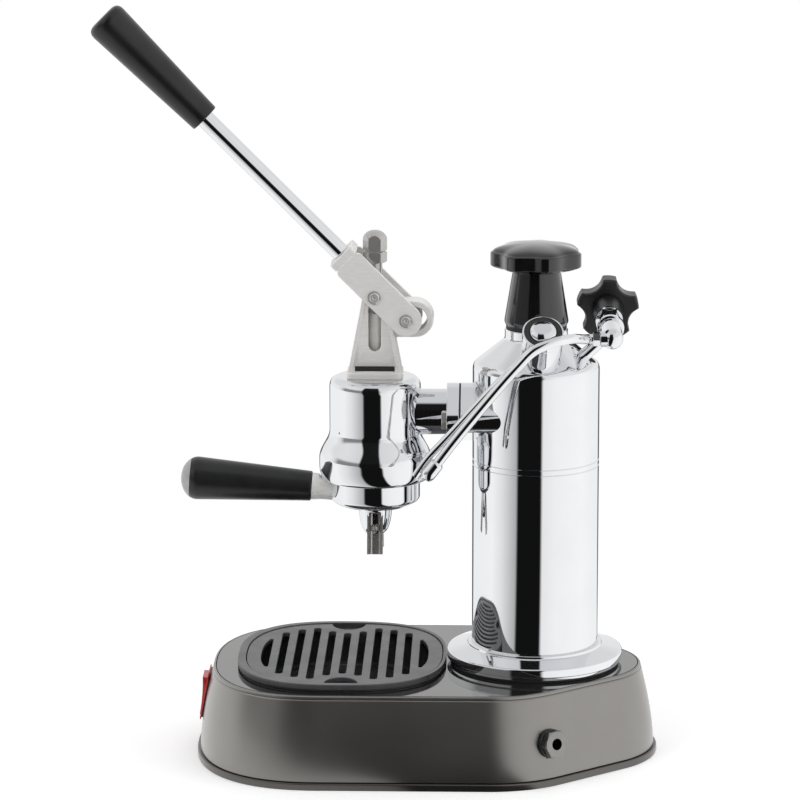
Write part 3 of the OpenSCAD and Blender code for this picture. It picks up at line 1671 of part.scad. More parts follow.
module lever_grip() {
  foot = fork_l + lever_rod_l + 2 * seat;
  end = foot + grip_l;
  soft = [for (k = [0 : soft_n]) let (a = 90 * k / soft_n)
    [grip_end_r - grip_soft * (1 - cos(a)), end - grip_soft * (1 - sin(a))]];
  color(black)
  along_lever()
  difference() {
    rotate_extrude()
      polygon(concat([[0, foot], [grip_r - 0.8, foot], [grip_r, foot + 0.8]], soft, [[0, end]]));
    bar(lever_stud_r + seat, foot - cut, foot + lever_stud_l + seat);
  }
}

module portafilter_body() {
  bowl = [for (k = [0 : 8]) let (a = 90 * k / 8)
    [spout_r + (ring_r - spout_r) * cos(a), ring_foot_z - (ring_foot_z - bowl_z) * sin(a)]];
  floor_z = bowl_z + bowl_t;
  lug_z = bell_z + lip_h + 0.3;
  color(chrome) {
    difference() {
      union() {
        at_group()
          rotate_extrude()
            polygon(concat([[ring_bore_r, ring_top_z], [ring_r - 0.5, ring_top_z],
              [ring_r, ring_top_z - 0.5]], bowl, [[spout_bore_r + 2, bowl_z], [spout_bore_r + 2, floor_z],
              [ring_bore_r - 4, floor_z + 1], [ring_bore_r, ring_foot_z + 1]]));
        at_handle()
          rotate_extrude()
            polygon([[0, ring_bore_r], [ferrule_r, ring_bore_r], [ferrule_r, ring_r + ferrule_neck],
              [ferrule_end_r - 0.3, ring_r + ferrule_neck + 0.4],
              [ferrule_end_r, ring_r + ferrule_l], [tang_r, ring_r + ferrule_l],
              [tang_r, ring_r + ferrule_l + tang_l], [0, ring_r + ferrule_l + tang_l]]);
      }
      at_group()
        bar(ring_bore_r, ring_foot_z + 1, ring_top_z + cut);
      at_group()
        bar(ring_bore_r - 4, floor_z, ring_foot_z + 2);
    }
    at_group()
      for (s = [0, 180])
        rotate([0, 0, 90 - lug_angle / 2 + s])
          rotate_extrude(angle = lug_angle)
            translate([ring_r - 1, lug_z])
              square([lug_out + 1, lug_h]);
  }
}

module filter_basket() {
  rim_z0 = ring_top_z + seat;
  outer = ring_bore_r - free;
  foot = ring_foot_z + 2;
  color(nickel)
  at_group()
  difference() {
    rotate_extrude()
      polygon([[0, foot], [outer - 1.5, foot], [outer, foot + 1.5], [outer, rim_z0], [ring_r - 0.6, rim_z0],
        [ring_r - 0.6, rim_z0 + basket_t], [outer - basket_t, rim_z0 + basket_t],
        [outer - basket_t, foot + 1.5 + basket_t], [outer - 1.5 - basket_t, foot + basket_t],
        [0, foot + basket_t]]);
    for (ring = [1 : 3], k = [0 : 6 * ring - 1])
      rotate([0, 0, 360 * k / (6 * ring)])
        translate([ring * outer / 4, 0, 0])
          bar(screen_hole_r, foot - cut, foot + basket_t + cut);
  }
}

module portafilter_handle() {
  foot = ring_r + ferrule_l + seat;
  end = foot + handle_l;
  color(black)
  at_handle()
  difference() {
    rotate_extrude()
      polygon([[0, foot], [handle_r - 0.8, foot], [handle_r, foot + 0.8], [handle_end_r, end], [0, end]]);
    bar(tang_r + seat, foot - cut, foot + tang_l + seat);
  }
}

module handle_cap() {
  foot = ring_r + ferrule_l + handle_l + 2 * seat;
  dome = [for (k = [0 : 8]) let (a = 90 * k / 8)
    [(handle_end_r - 3) * cos(a) + 3 * pow(cos(a), 0.3), foot + handle_cap_t * sin(a)]];
  color([0.16, 0.16, 0.17])
  at_handle()
    rotate_extrude()
      polygon(concat([[0, foot]], dome));
}

module double_spout() {
  top = bowl_z - seat;
  cup = [for (k = [0 : 8]) let (a = 90 * k / 8) [spout_r * pow(cos(a), 0.6), top - spout_cup_h * sin(a)]];
  stem_top = bowl_z + bowl_t;
  color(chrome)
  at_group()
  difference() {
    union() {
      rotate_extrude()
        polygon(concat([[0, top]], cup));
      bar(spout_bore_r + 2 - seat, top - cut, stem_top);
      for (s = [0, 180])
        rotate([0, 0, s])
          translate([0, -1, top - spout_cup_h / 3])
            rotate([-channel_lean, 0, 0])
              translate([-channel_w / 2, -channel_d, -channel_l])
                cube([channel_w, channel_d, channel_l]);
    }
    for (s = [0, 180])
      rotate([0, 0, s])
        translate([0, -1, top - spout_cup_h / 3])
          rotate([-channel_lean, 0, 0])
            translate([channel_t - channel_w / 2, -channel_d - spout_r, -channel_l - cut])
              cube([channel_w - 2 * channel_t, channel_d + spout_r - channel_t, channel_l + cut]);
    bar(spout_bore_r, top - spout_cup_h / 4, stem_top + cut);
  }
}

base_shell();
bottom_cover();
cover_screws();
switch_housing();
switch_rocker();
cable_gland();
drip_tray();
drip_grille();
boiler_shell();
boiler_flange();
flange_gasket();
boiler_ring_nut();
element_plate();
heating_element();
pressure_switch();
sight_fittings();
sight_glass();
sight_shield();
safety_valve_body();
safety_valve_cap();
relief_ball();
relief_spring();
dip_tube();
cap_seal();
cap_plug();
cap_knob();
steam_valve_body();
steam_gland_nut();
steam_seat_disc();
steam_spindle();
steam_knob();
wand_nut();
steam_wand();
wand_tip();
wand_side_tube();
group_saddle();
group_gasket();
group_body();
group_bolts();
cylinder_sleeve();
shower_screen();
portafilter_gasket();
lever_tower();
rod_bush();
piston_rod();
piston_head();
piston_seals();
rod_head();
rod_nuts();
piston_pin();
lever_fork();
lever_rod();
lever_grip();
rear_pin();
rear_roller();
portafilter_body();
filter_basket();
portafilter_handle();
handle_cap();
double_spout();
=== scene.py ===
# %% [markdown]
# # Dressing a lever espresso machine
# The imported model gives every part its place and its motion. This lesson puts a finished surface over each part
# that can be seen: bright plating, satin nickel, metallic paint, black handles. Every shape is worked out as an
# array of points, so a size that is written here can be changed and the piece follows.

# %% Load the frame
import json
import math

import bmesh
import bpy
import numpy as np
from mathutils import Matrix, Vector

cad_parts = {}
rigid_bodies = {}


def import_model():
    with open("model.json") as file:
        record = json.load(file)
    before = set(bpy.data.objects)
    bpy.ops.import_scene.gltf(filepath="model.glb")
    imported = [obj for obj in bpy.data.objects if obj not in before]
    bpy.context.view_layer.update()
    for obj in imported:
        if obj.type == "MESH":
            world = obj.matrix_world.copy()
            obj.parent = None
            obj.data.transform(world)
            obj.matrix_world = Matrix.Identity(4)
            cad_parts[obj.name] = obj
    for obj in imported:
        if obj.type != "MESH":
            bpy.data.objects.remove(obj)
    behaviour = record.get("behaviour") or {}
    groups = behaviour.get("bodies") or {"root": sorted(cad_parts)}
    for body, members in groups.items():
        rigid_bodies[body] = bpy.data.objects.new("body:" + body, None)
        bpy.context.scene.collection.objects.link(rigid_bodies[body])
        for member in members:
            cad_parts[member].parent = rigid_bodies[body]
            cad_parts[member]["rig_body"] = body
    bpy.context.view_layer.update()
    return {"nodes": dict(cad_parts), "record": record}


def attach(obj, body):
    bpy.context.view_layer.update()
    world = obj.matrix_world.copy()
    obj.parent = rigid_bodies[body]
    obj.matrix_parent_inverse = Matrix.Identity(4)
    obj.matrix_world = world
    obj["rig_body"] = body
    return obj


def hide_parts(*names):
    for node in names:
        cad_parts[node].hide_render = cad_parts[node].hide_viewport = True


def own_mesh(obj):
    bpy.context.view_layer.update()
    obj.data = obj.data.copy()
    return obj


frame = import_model()

# %% [markdown]
# ## Points, grids and skins
# A turned part could be drawn as a curve with a Screw modifier, and a cast part could be sculpted. Here each one is
# a grid of points: rows follow a profile, columns run round it. One function turns any grid into quads, so a cap, a
# tray and a bent tube all share the same few lines.

# %% Grid helpers
MM = 0.001


def unit(v):
    """A vector, or each row of an array of vectors, divided by its length."""
    v = np.asarray(v, float)
    return v / np.linalg.norm(v, axis=-1, keepdims=True)


def sweep(first, last, count):
    """Equal steps of angle between two angles in degrees."""
    return np.radians(np.linspace(first, last, count))


def full_turn(count):
    """Equal steps of angle round a circle."""
    return np.arange(count) * 2 * np.pi / count


def polar(r, t, z):
    """Grid of points (r cos t, r sin t, z), with one row for each height z and one column for each angle t."""
    return np.stack([r * np.cos(t), r * np.sin(t), np.repeat(z[:, None], len(t), 1)], -1)


def placed(points, at=(0, 0, 0), along=(0, 0, 1), toward=(1, 0, 0)):
    """Points moved from a piece's own axes to the machine: at + x*X + y*Y + z*Z, where Z is the direction along,
    X is the part of toward that lies across Z, and Y is their cross product."""
    z = unit(along)
    x = np.asarray(toward, float)
    x = unit(x - (x @ z) * z)
    return np.asarray(at, float) + points @ np.stack([x, np.cross(z, x), z])


def soften(corners, steps=6):
    """A profile through rows [coordinates..., s]. A corner with s > 0 becomes a quadratic curve that starts and ends
    at distance s from it, with one more point on each side that keeps the straight part straight in the shading."""
    rows = np.array(corners, float)
    spots, size = rows[:, :-1], rows[:, -1]
    u = np.linspace(0, 1, steps + 1)[:, None]
    parts = []
    for k in range(len(rows)):
        if size[k] <= 0 or k in (0, len(rows) - 1):
            parts.append(spots[k][None])
            continue
        back, ahead = spots[k - 1] - spots[k], spots[k + 1] - spots[k]
        a = spots[k] + back * min(size[k] / np.linalg.norm(back), 0.45)
        b = spots[k] + ahead * min(size[k] / np.linalg.norm(ahead), 0.45)
        arc = (1 - u) ** 2 * a + 2 * u * (1 - u) * spots[k] + u ** 2 * b
        parts.append(np.vstack([a + (a - spots[k]) * 0.1, arc, b + (b - spots[k]) * 0.1]))
    return np.vstack(parts)


def turn(profile, around=96):
    """Grid of a turned part: point (i, j) = (r_i cos t_j, r_i sin t_j, z_i) for profile rows (r, z)."""
    r, z = np.asarray(profile, float).T
    return polar(r[:, None], full_turn(around), z)


def skin(grid, loop=False):
    """Points and quads of a grid whose columns close round. With loop, the last row also joins the first."""
    rows, cols = grid.shape[:2]
    index = np.arange(rows * cols).reshape(rows, cols)
    if loop:
        index = np.vstack([index, index[:1]])
    a, b = index[:-1], index[1:]
    quads = np.stack([a, np.roll(a, -1, 1), np.roll(b, -1, 1), b], -1)
    return grid.reshape(-1, 3), quads.reshape(-1, 4)


def closed(grid, first, last):
    """Skin of a grid whose two ends are closed by one point each."""
    poles = [np.broadcast_to(np.asarray(point, float), (1, *grid.shape[1:])) for point in (first, last)]
    return skin(np.concatenate([poles[0], grid, poles[1]]))


def turned(profile, around=96, loop=False, **where):
    """Skin of a turned part, set in its place."""
    points, quads = skin(turn(profile, around), loop)
    return placed(points, **where), quads


def moved(shell, **where):
    """A shell set in its place."""
    return placed(shell[0], **where), shell[1]


def build(name, shells, sharp=35):
    """One mesh object from several shells. Doubled points at seams and poles are merged and faces turned outwards."""
    faces, count = [], 0
    for points, polygons in shells:
        faces += (polygons + count).tolist()
        count += len(points)
    mesh = bpy.data.meshes.new(name)
    mesh.from_pydata((np.vstack([points for points, _ in shells]) * MM).tolist(), [], faces)
    clean = bmesh.new()
    clean.from_mesh(mesh)
    bmesh.ops.remove_doubles(clean, verts=clean.verts, dist=2e-6)
    bmesh.ops.dissolve_degenerate(clean, edges=clean.edges, dist=1e-7)
    bmesh.ops.recalc_face_normals(clean, faces=clean.faces)
    clean.to_mesh(mesh)
    clean.free()
    mesh.shade_smooth()
    mesh.set_sharp_from_angle(angle=math.radians(sharp))
    piece = bpy.data.objects.new(name, mesh)
    bpy.context.scene.collection.objects.link(piece)
    return piece


def dress(piece, finish, slot, body, *nodes):
    """Give a piece its finish and the body that carries it, and hide the nodes it stands for. The slot is not used.
    """
    piece.data.materials.clear()
    piece.data.materials.append(FINISH[finish])
    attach(piece, body)
    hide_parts(*nodes)
    print(f"{piece.name}: {len(piece.data.polygons)} faces, {finish}, on {body}")
    return piece


print("helpers ready")

# %% [markdown]
# ## Finishes
# Each finish starts from one shader and gets what the real surface shows: plated parts carry faint smudges and a
# trace of waviness, satin nickel has fine brushing, the base is sprayed with a metallic paint, the handles are
# moulded and polished. The patterns are noises on Object coordinates, in metres, so they keep their true scale.

# %% Finish helpers
FINISH = {}


def new_finish(name, colour, metallic, roughness, **sockets):
    """A material with one shader; values that are the same all over are set on its sockets."""
    material = bpy.data.materials.new(name)
    material.use_nodes = True
    shader = material.node_tree.nodes["Principled BSDF"]
    values = {"Base Color": (*colour, 1), "Metallic": metallic, "Roughness": roughness}
    values.update({key.replace("_", " "): value for key, value in sockets.items()})
    for socket, value in values.items():
        shader.inputs[socket].default_value = value
    FINISH[name] = material
    return material, material.node_tree.nodes, material.node_tree.links, shader


def noise(tree, scale, detail=3.0, stretch=(1, 1, 1)):
    """Noise in Object coordinates; a stretch above 1 along an axis packs the pattern along it."""
    _, nodes, links, _ = tree
    coords, mapping = nodes.new("ShaderNodeTexCoord"), nodes.new("ShaderNodeMapping")
    pattern = nodes.new("ShaderNodeTexNoise")
    mapping.inputs["Scale"].default_value = stretch
    pattern.inputs["Scale"].default_value = scale
    pattern.inputs["Detail"].default_value = detail
    links.new(coords.outputs["Object"], mapping.inputs["Vector"])
    links.new(mapping.outputs["Vector"], pattern.inputs["Vector"])
    return pattern.outputs["Fac"]


def vary_roughness(tree, pattern, low, high):
    """Roughness = low + (high - low) * how far the pattern lies between 0.35 and 0.65."""
    _, nodes, links, shader = tree
    spread = nodes.new("ShaderNodeMapRange")
    for socket, value in zip(("From Min", "From Max", "To Min", "To Max"), (0.35, 0.65, low, high)):
        spread.inputs[socket].default_value = value
    links.new(pattern, spread.inputs["Value"])
    links.new(spread.outputs["Result"], shader.inputs["Roughness"])


def vary_colour(tree, pattern, dark, light):
    """Base colour moves from dark to light with the pattern."""
    _, nodes, links, shader = tree
    ramp = nodes.new("ShaderNodeValToRGB")
    ramp.color_ramp.elements[0].position, ramp.color_ramp.elements[1].position = 0.35, 0.65
    ramp.color_ramp.elements[0].color, ramp.color_ramp.elements[1].color = (*dark, 1), (*light, 1)
    links.new(pattern, ramp.inputs["Fac"])
    links.new(ramp.outputs["Color"], shader.inputs["Base Color"])


def emboss(tree, pattern, strength, depth):
    """Fine relief of the given depth in metres."""
    _, nodes, links, shader = tree
    bump = nodes.new("ShaderNodeBump")
    bump.inputs["Strength"].default_value = strength
    bump.inputs["Distance"].default_value = depth
    links.new(pattern, bump.inputs["Height"])
    links.new(bump.outputs["Normal"], shader.inputs["Normal"])


def add_finish(name, colour, metallic, rough, smudge, grain=None, tint=0.0, stretch=(1, 1, 1), **sockets):
    """A finish with smudges of size 1/smudge in its roughness, grain = (scale, strength, depth) in its relief and a
    colour that wanders by the share tint."""
    tree = new_finish(name, colour, metallic, rough[0], **sockets)
    vary_roughness(tree, noise(tree, smudge, 4.0, stretch), *rough)
    if tint:
        colour = np.array(colour)
        vary_colour(tree, noise(tree, smudge * 1.7, 3.0, stretch), colour * (1 - tint), colour * (1 + tint))
    if grain:
        emboss(tree, noise(tree, grain[0], 2.0, stretch), grain[1], grain[2])


# %% Metal and paint
add_finish("bright_plating", (0.83, 0.84, 0.86), 1.0, (0.02, 0.05), 26, (60, 0.04, 0.0002), 0.012)
add_finish("satin_nickel", (0.86, 0.85, 0.83), 0.25, (0.38, 0.44), 90, (900, 0.04, 0.0001), 0.03, (1, 1, 5))
add_finish("polished_nickel", (0.52, 0.51, 0.495), 0.65, (0.10, 0.16), 60, (300, 0.04, 0.0001), 0.03)
add_finish("turned_steel", (0.74, 0.73, 0.72), 0.6, (0.16, 0.26), 120, (700, 0.1, 0.0001), 0.05)
add_finish("sand_brass", (0.72, 0.50, 0.22), 1.0, (0.22, 0.4), 70, (600, 0.2, 0.0001), 0.1)
add_finish("copper_tube", (0.72, 0.35, 0.22), 1.0, (0.2, 0.38), 70, (600, 0.2, 0.0001), 0.12)
add_finish("skirt_paint", (0.29, 0.278, 0.263), 0.92, (0.29, 0.33), 20, (2500, 0.03, 0.00005), 0.02,
           Coat_Weight=0.3, Coat_Roughness=0.12)
add_finish("deck_gloss", (0.085, 0.083, 0.081), 0.8, (0.05, 0.09), 30, (900, 0.03, 0.0001), 0.04,
           Coat_Weight=0.6, Coat_Roughness=0.04)
add_finish("foot_paint", (0.15, 0.144, 0.137), 0.92, (0.29, 0.33), 20, (2500, 0.03, 0.00005), 0.03)
add_finish("trim_metal", (0.30, 0.295, 0.285), 1.0, (0.22, 0.30), 80, (900, 0.06, 0.0001), 0.05)
print("metals and paints:", sorted(FINISH))

# %% Mouldings, rubber and glass
add_finish("black_handle", (0.011, 0.011, 0.012), 0.0, (0.26, 0.34), 45, (500, 0.03, 0.0001), 0.2,
           Specular_IOR_Level=0.5)
add_finish("black_gloss", (0.006, 0.006, 0.0065), 0.0, (0.05, 0.09), 45, (500, 0.02, 0.0001), 0.2,
           Specular_IOR_Level=0.6, Coat_Weight=0.6, Coat_Roughness=0.04)
add_finish("grey_end_cap", (0.40, 0.40, 0.405), 0.2, (0.24, 0.34), 60, (700, 0.08, 0.0001), 0.08)
add_finish("tray_satin", (0.070, 0.070, 0.074), 0.0, (0.26, 0.34), 60, (1400, 0.10, 0.0001), 0.10)
add_finish("black_moulding", (0.016, 0.016, 0.017), 0.0, (0.30, 0.42), 80, (1200, 0.2, 0.00012), 0.2)
add_finish("red_rocker", (0.52, 0.012, 0.010), 0.0, (0.20, 0.30), 70, (900, 0.1, 0.0001), 0.1, Coat_Weight=0.3)
add_finish("seal_rubber", (0.020, 0.020, 0.020), 0.0, (0.55, 0.7), 90, (800, 0.3, 0.0002), 0.2)
add_finish("gauge_glass", (0.93, 0.97, 0.96), 0.0, (0.0, 0.03), 40, None, 0.0, Transmission_Weight=1.0, IOR=1.48)
print("all finishes:", len(FINISH))

# %% [markdown]
# ## Camera and light
# The photograph is a studio shot from a little above, with a long lens. A white tent stands round the machine, so
# bright metal mirrors white, and one dark opening behind the camera gives the boiler its black stripe. Dark strips
# just outside the picture draw the thin dark lines at the edges of the round parts. The tent's stripes depend on the
# direction from the machine only, so they stay where they are when the camera moves. An upright mirror seen from
# above shows the floor in front of it, so the floor carries the lowest row of stripes in reflections. Slanted metal
# looks up into the tent, so the world carries two more rows above it, under a grey top.

# %% Camera
camera = bpy.data.objects.new("camera", bpy.data.cameras.new("camera"))
bpy.context.scene.collection.objects.link(camera)
CAMERA_AT, LOOK_DOWN, ROLL, TURN_LEFT, LENS = (0.0486, -2.4778, 0.7555), 0.211, 0.001, 0.0265, 183.2
camera.location = CAMERA_AT
camera.rotation_euler = (math.pi / 2 - LOOK_DOWN, ROLL, TURN_LEFT)
camera.data.sensor_width, camera.data.lens = 36, LENS
camera.data.clip_end = 100
bpy.context.scene.camera = camera
bpy.context.scene.view_settings.view_transform = "Standard"
print("camera at", tuple(camera.location))

# %% Tent
AMBIENT, TENT_GAIN = 0.52, 1.08
# Brightness of the tent along the floor by direction: share of a full turn from behind the machine, by way of the
# left side, to the camera at 0.5 and on by way of the right side.
TENT = [(0.0, 0.95), (0.022, 0.95), (0.03, 0.08), (0.07, 0.10), (0.085, 0.9), (0.27, 0.96), (0.33, 0.80),
        (0.405, 0.45), (0.416, 0.006), (0.527, 0.006), (0.538, 0.86), (0.60, 0.94), (0.75, 1.0), (0.915, 0.9),
        (0.93, 0.10), (0.97, 0.08), (0.978, 0.95), (1.0, 0.95)]
# Above the paper's edge the dark opening reaches farther to the left, and nothing dark stands behind the machine.
UPPER_TENT = [(0.0, 0.80), (0.20, 0.90), (0.24, 0.75), (0.275, 0.26), (0.405, 0.22), (0.416, 0.006), (0.527, 0.006),
              (0.545, 0.75), (0.60, 0.90), (0.75, 1.0), (0.90, 0.85), (1.0, 0.80)]
# Higher up only the opening itself is left.
HIGH_TENT = [(0.0, 0.72), (0.30, 0.80), (0.405, 0.70), (0.416, 0.01), (0.527, 0.01), (0.538, 0.72), (0.70, 0.80),
             (1.0, 0.72)]


def step(tree, operation, first, second=0.0):
    """One arithmetic step on two sockets or numbers."""
    node = tree.nodes.new("ShaderNodeMath")
    node.operation = operation
    for socket, value in zip(node.inputs, (first, second)):
        if isinstance(value, (int, float)):
            socket.default_value = value
        else:
            tree.links.new(value, socket)
    return node.outputs[0]


def stripes(tree, x, y, tent):
    """Colour of the tent towards (x, y): its ramp at the share of a turn atan2(x, -y) / (2 pi) + 1/2."""
    share = step(tree, "DIVIDE", step(tree, "ARCTAN2", x, step(tree, "MULTIPLY", y, -1.0)), 2 * math.pi)
    ramp = tree.nodes.new("ShaderNodeValToRGB")
    tree.links.new(step(tree, "ADD", share, 0.5), ramp.inputs["Fac"])
    stops = ramp.color_ramp.elements
    stops[0].position, stops[1].position = tent[0][0], tent[-1][0]
    stops[0].color, stops[1].color = (*[tent[0][1]] * 3, 1), (*[tent[-1][1]] * 3, 1)
    for place, value in tent[1:-1]:
        stops.new(place).color = (value, value, value, 1)
    return ramp.outputs["Color"]


def ramp_between(tree, value, low, high):
    """Share of the way of a value from low to high, kept between 0 and 1."""
    node = tree.nodes.new("ShaderNodeMapRange")
    node.inputs["From Min"].default_value, node.inputs["From Max"].default_value = low, high
    tree.links.new(value, node.inputs["Value"])
    return node.outputs["Result"]


def mixed(tree, share, first, second):
    """Shader that goes from the first to the second with the share."""
    node = tree.nodes.new("ShaderNodeMixShader")
    for socket, value in zip(node.inputs, (share, first, second)):
        tree.links.new(value, socket)
    return node.outputs[0]


def mirrored(tree):
    """Light Path node and a share that is 1 for rays that left a mirror or passed through glass."""
    path = tree.nodes.new("ShaderNodeLightPath")
    return path, step(tree, "MAXIMUM", path.outputs["Is Glossy Ray"], path.outputs["Is Transmission Ray"])


print("tent stops:", len(TENT), len(UPPER_TENT), len(HIGH_TENT))

# %% World
world = bpy.data.worlds.new("studio_tent")
world.use_nodes = True
bpy.context.scene.world = world
sky = world.node_tree
direction, split = sky.nodes.new("ShaderNodeTexCoord"), sky.nodes.new("ShaderNodeSeparateXYZ")
sky.links.new(direction.outputs["Generated"], split.inputs["Vector"])
# The upper row of stripes gives way to the high one, and that to the tent's grey top. The Mix node's colour sockets
# go by number, because its sockets for numbers and vectors have the same names.
COLOUR_A, COLOUR_B, COLOUR_OUT, TOP_GREY = 6, 7, 2, (0.62, 0.63, 0.64, 1)
UPPER_TO_HIGH, HIGH_TO_TOP = (0.24, 0.40), (0.74, 0.86)
rows, dome = sky.nodes.new("ShaderNodeMix"), sky.nodes.new("ShaderNodeMix")
rows.data_type = dome.data_type = "RGBA"
dome.inputs[COLOUR_B].default_value = TOP_GREY
for mix, heights in ((rows, UPPER_TO_HIGH), (dome, HIGH_TO_TOP)):
    sky.links.new(ramp_between(sky, split.outputs["Z"], *heights), mix.inputs["Factor"])
for socket, tent in ((COLOUR_A, UPPER_TENT), (COLOUR_B, HIGH_TENT)):
    sky.links.new(stripes(sky, split.outputs["X"], split.outputs["Y"], tent), rows.inputs[socket])
sky.links.new(rows.outputs[COLOUR_OUT], dome.inputs[COLOUR_A])
shades = []
for strength in (TENT_GAIN, 1.0, AMBIENT):
    shade = sky.nodes.new("ShaderNodeBackground")
    shade.inputs["Color"].default_value = (1, 1, 1, 1)
    shade.inputs["Strength"].default_value = strength
    shades.append(shade)
mirror, white, soft = shades
sky.links.new(dome.outputs[COLOUR_OUT], mirror.inputs["Color"])
path, seen_in_metal = mirrored(sky)
indirect = mixed(sky, seen_in_metal, soft.outputs[0], mirror.outputs[0])
sky.links.new(mixed(sky, path.outputs["Is Camera Ray"], indirect, white.outputs[0]),
              sky.nodes["World Output"].inputs["Surface"])
print("world:", world.name)


# %% Lamps
def lamp(name, place, size, power, target=(0, 0, 0.15)):
    """A square soft box that faces the target. It lights surfaces but isn't mirrored, as the tent hides it."""
    light = bpy.data.lights.new(name, "AREA")
    light.shape, light.size, light.energy = "SQUARE", size, power
    holder = bpy.data.objects.new(name, light)
    bpy.context.scene.collection.objects.link(holder)
    holder.location = place
    holder.visible_glossy = False
    aim = Vector(target) - Vector(place)
    holder.rotation_euler = aim.to_track_quat("-Z", "Y").to_euler()


lamp("soft_box_left", (-1.6, -1.3, 1.9), 1.4, 17)
lamp("soft_box_top", (0.5, 0.3, 2.4), 1.6, 17)
lamp("soft_box_right", (1.9, -1.0, 1.1), 1.2, 9)
print("three soft boxes")

# %% [markdown]
# ## Floor
# The machine stands on white paper. A plain white plane goes grey away from the lamps, so the paper also glows a
# little for camera rays, and farther out it is plain white: open paper reaches white and the machine's soft shadow
# stays. Metal sees the tent's stripes on it, by direction from the boiler's foot.

# %% Floor
SIDE, FOOT_X, PAPER_GLOW, WHITE_FROM, WHITE_AT = 6.0, 0.05, 0.30, 0.26, 0.5
corner = np.array([[-1, -1, 0], [1, -1, 0], [1, 1, 0], [-1, 1, 0]]) * SIDE / MM
floor = build("paper_floor", [(corner, np.array([[0, 1, 2, 3]]))])
paper = new_finish("white_paper", (0.86, 0.86, 0.86), 0.0, 0.7)
emboss(paper, noise(paper, 220, 2.0), 0.03, 0.0004)
sheet = paper[0].node_tree
spot, apart = sheet.nodes.new("ShaderNodeTexCoord"), sheet.nodes.new("ShaderNodeSeparateXYZ")
sheet.links.new(spot.outputs["Object"], apart.inputs["Vector"])
floor_x, floor_y = step(sheet, "ADD", apart.outputs["X"], -FOOT_X), apart.outputs["Y"]
away = step(sheet, "SQRT", step(sheet, "ADD", step(sheet, "MULTIPLY", apart.outputs["X"], apart.outputs["X"]),
                                step(sheet, "MULTIPLY", floor_y, floor_y)))
path, seen_in_metal = mirrored(sheet)
glows = []
for strength in (PAPER_GLOW, 1.0, TENT_GAIN):
    glow = sheet.nodes.new("ShaderNodeEmission")
    glow.inputs["Strength"].default_value = strength
    glows.append(glow)
sheet.links.new(step(sheet, "MULTIPLY", path.outputs["Is Camera Ray"], PAPER_GLOW), glows[0].inputs["Strength"])
sheet.links.new(stripes(sheet, floor_x, floor_y, TENT), glows[2].inputs["Color"])
lit = sheet.nodes.new("ShaderNodeAddShader")
sheet.links.new(paper[3].outputs[0], lit.inputs[0])
sheet.links.new(glows[0].outputs[0], lit.inputs[1])
open_paper = step(sheet, "MULTIPLY", path.outputs["Is Camera Ray"],
                  ramp_between(sheet, away, WHITE_FROM, WHITE_AT))
plain = mixed(sheet, open_paper, lit.outputs[0], glows[1].outputs[0])
sheet.links.new(mixed(sheet, seen_in_metal, plain, glows[2].outputs[0]),
                sheet.nodes["Material Output"].inputs["Surface"])
floor.data.materials.append(FINISH["white_paper"])
print("floor", SIDE * 2, "m wide")

# %% [markdown]
# ## Outlines
# The base, the tray and the grille share one family of curves. A superellipse lies between an oval and a rounded
# rectangle. The deck is the belt round a wide front superellipse, two round shoulders and a round nose under the
# boiler. Each outline is sampled by its outward normal, because moving it outwards is then one addition, and it is
# resampled so that its points lie evenly.

# %% Outline helpers
def oval_points(a, b, power, t):
    """Point of the superellipse |x/a|^p + |y/b|^p = 1 where the outward normal has angle t."""
    q = power / (power - 1)
    u, v = np.abs(a * np.cos(t)) ** q, np.abs(b * np.sin(t)) ** q
    x = a * np.sign(np.cos(t)) * (u / (u + v)) ** (1 / power)
    y = b * np.sign(np.sin(t)) * (v / (u + v)) ** (1 / power)
    return np.stack([x, y], -1)


def even(points, angles, count):
    """Points and normals at equal steps along a closed outline."""
    ends = np.vstack([points, points[:1]])
    way = np.concatenate([[0], np.cumsum(np.linalg.norm(np.diff(ends, axis=0), axis=1))])
    s = np.arange(count) * way[-1] / count
    t = np.interp(s, way, np.append(angles, angles[0] + 2 * np.pi))
    spot = np.stack([np.interp(s, way, ends[:, k]) for k in (0, 1)], -1)
    return spot, np.stack([np.cos(t), np.sin(t)], -1)


def oval(a, b, power, count=240):
    """Evenly spaced superellipse and its normals."""
    t = full_turn(4000)
    return even(oval_points(a, b, power, t), t, count)


def belt(shapes, t):
    """Outline round several outlines: for each normal angle t, the point that lies farthest that way."""
    n = np.stack([np.cos(t), np.sin(t)], -1)
    reach = np.stack([(shape * n).sum(-1) for shape in shapes])
    return np.stack(shapes)[reach.argmax(0), np.arange(len(t))]


def rings(outline, normals, levels):
    """Grid whose row (d, z) is the outline moved outwards by d, at height z."""
    levels = np.asarray(levels, float)
    flat = outline[None] + levels[:, 0, None, None] * normals[None]
    return np.concatenate([flat, np.repeat(levels[:, 1, None, None], len(outline), 1)], -1)


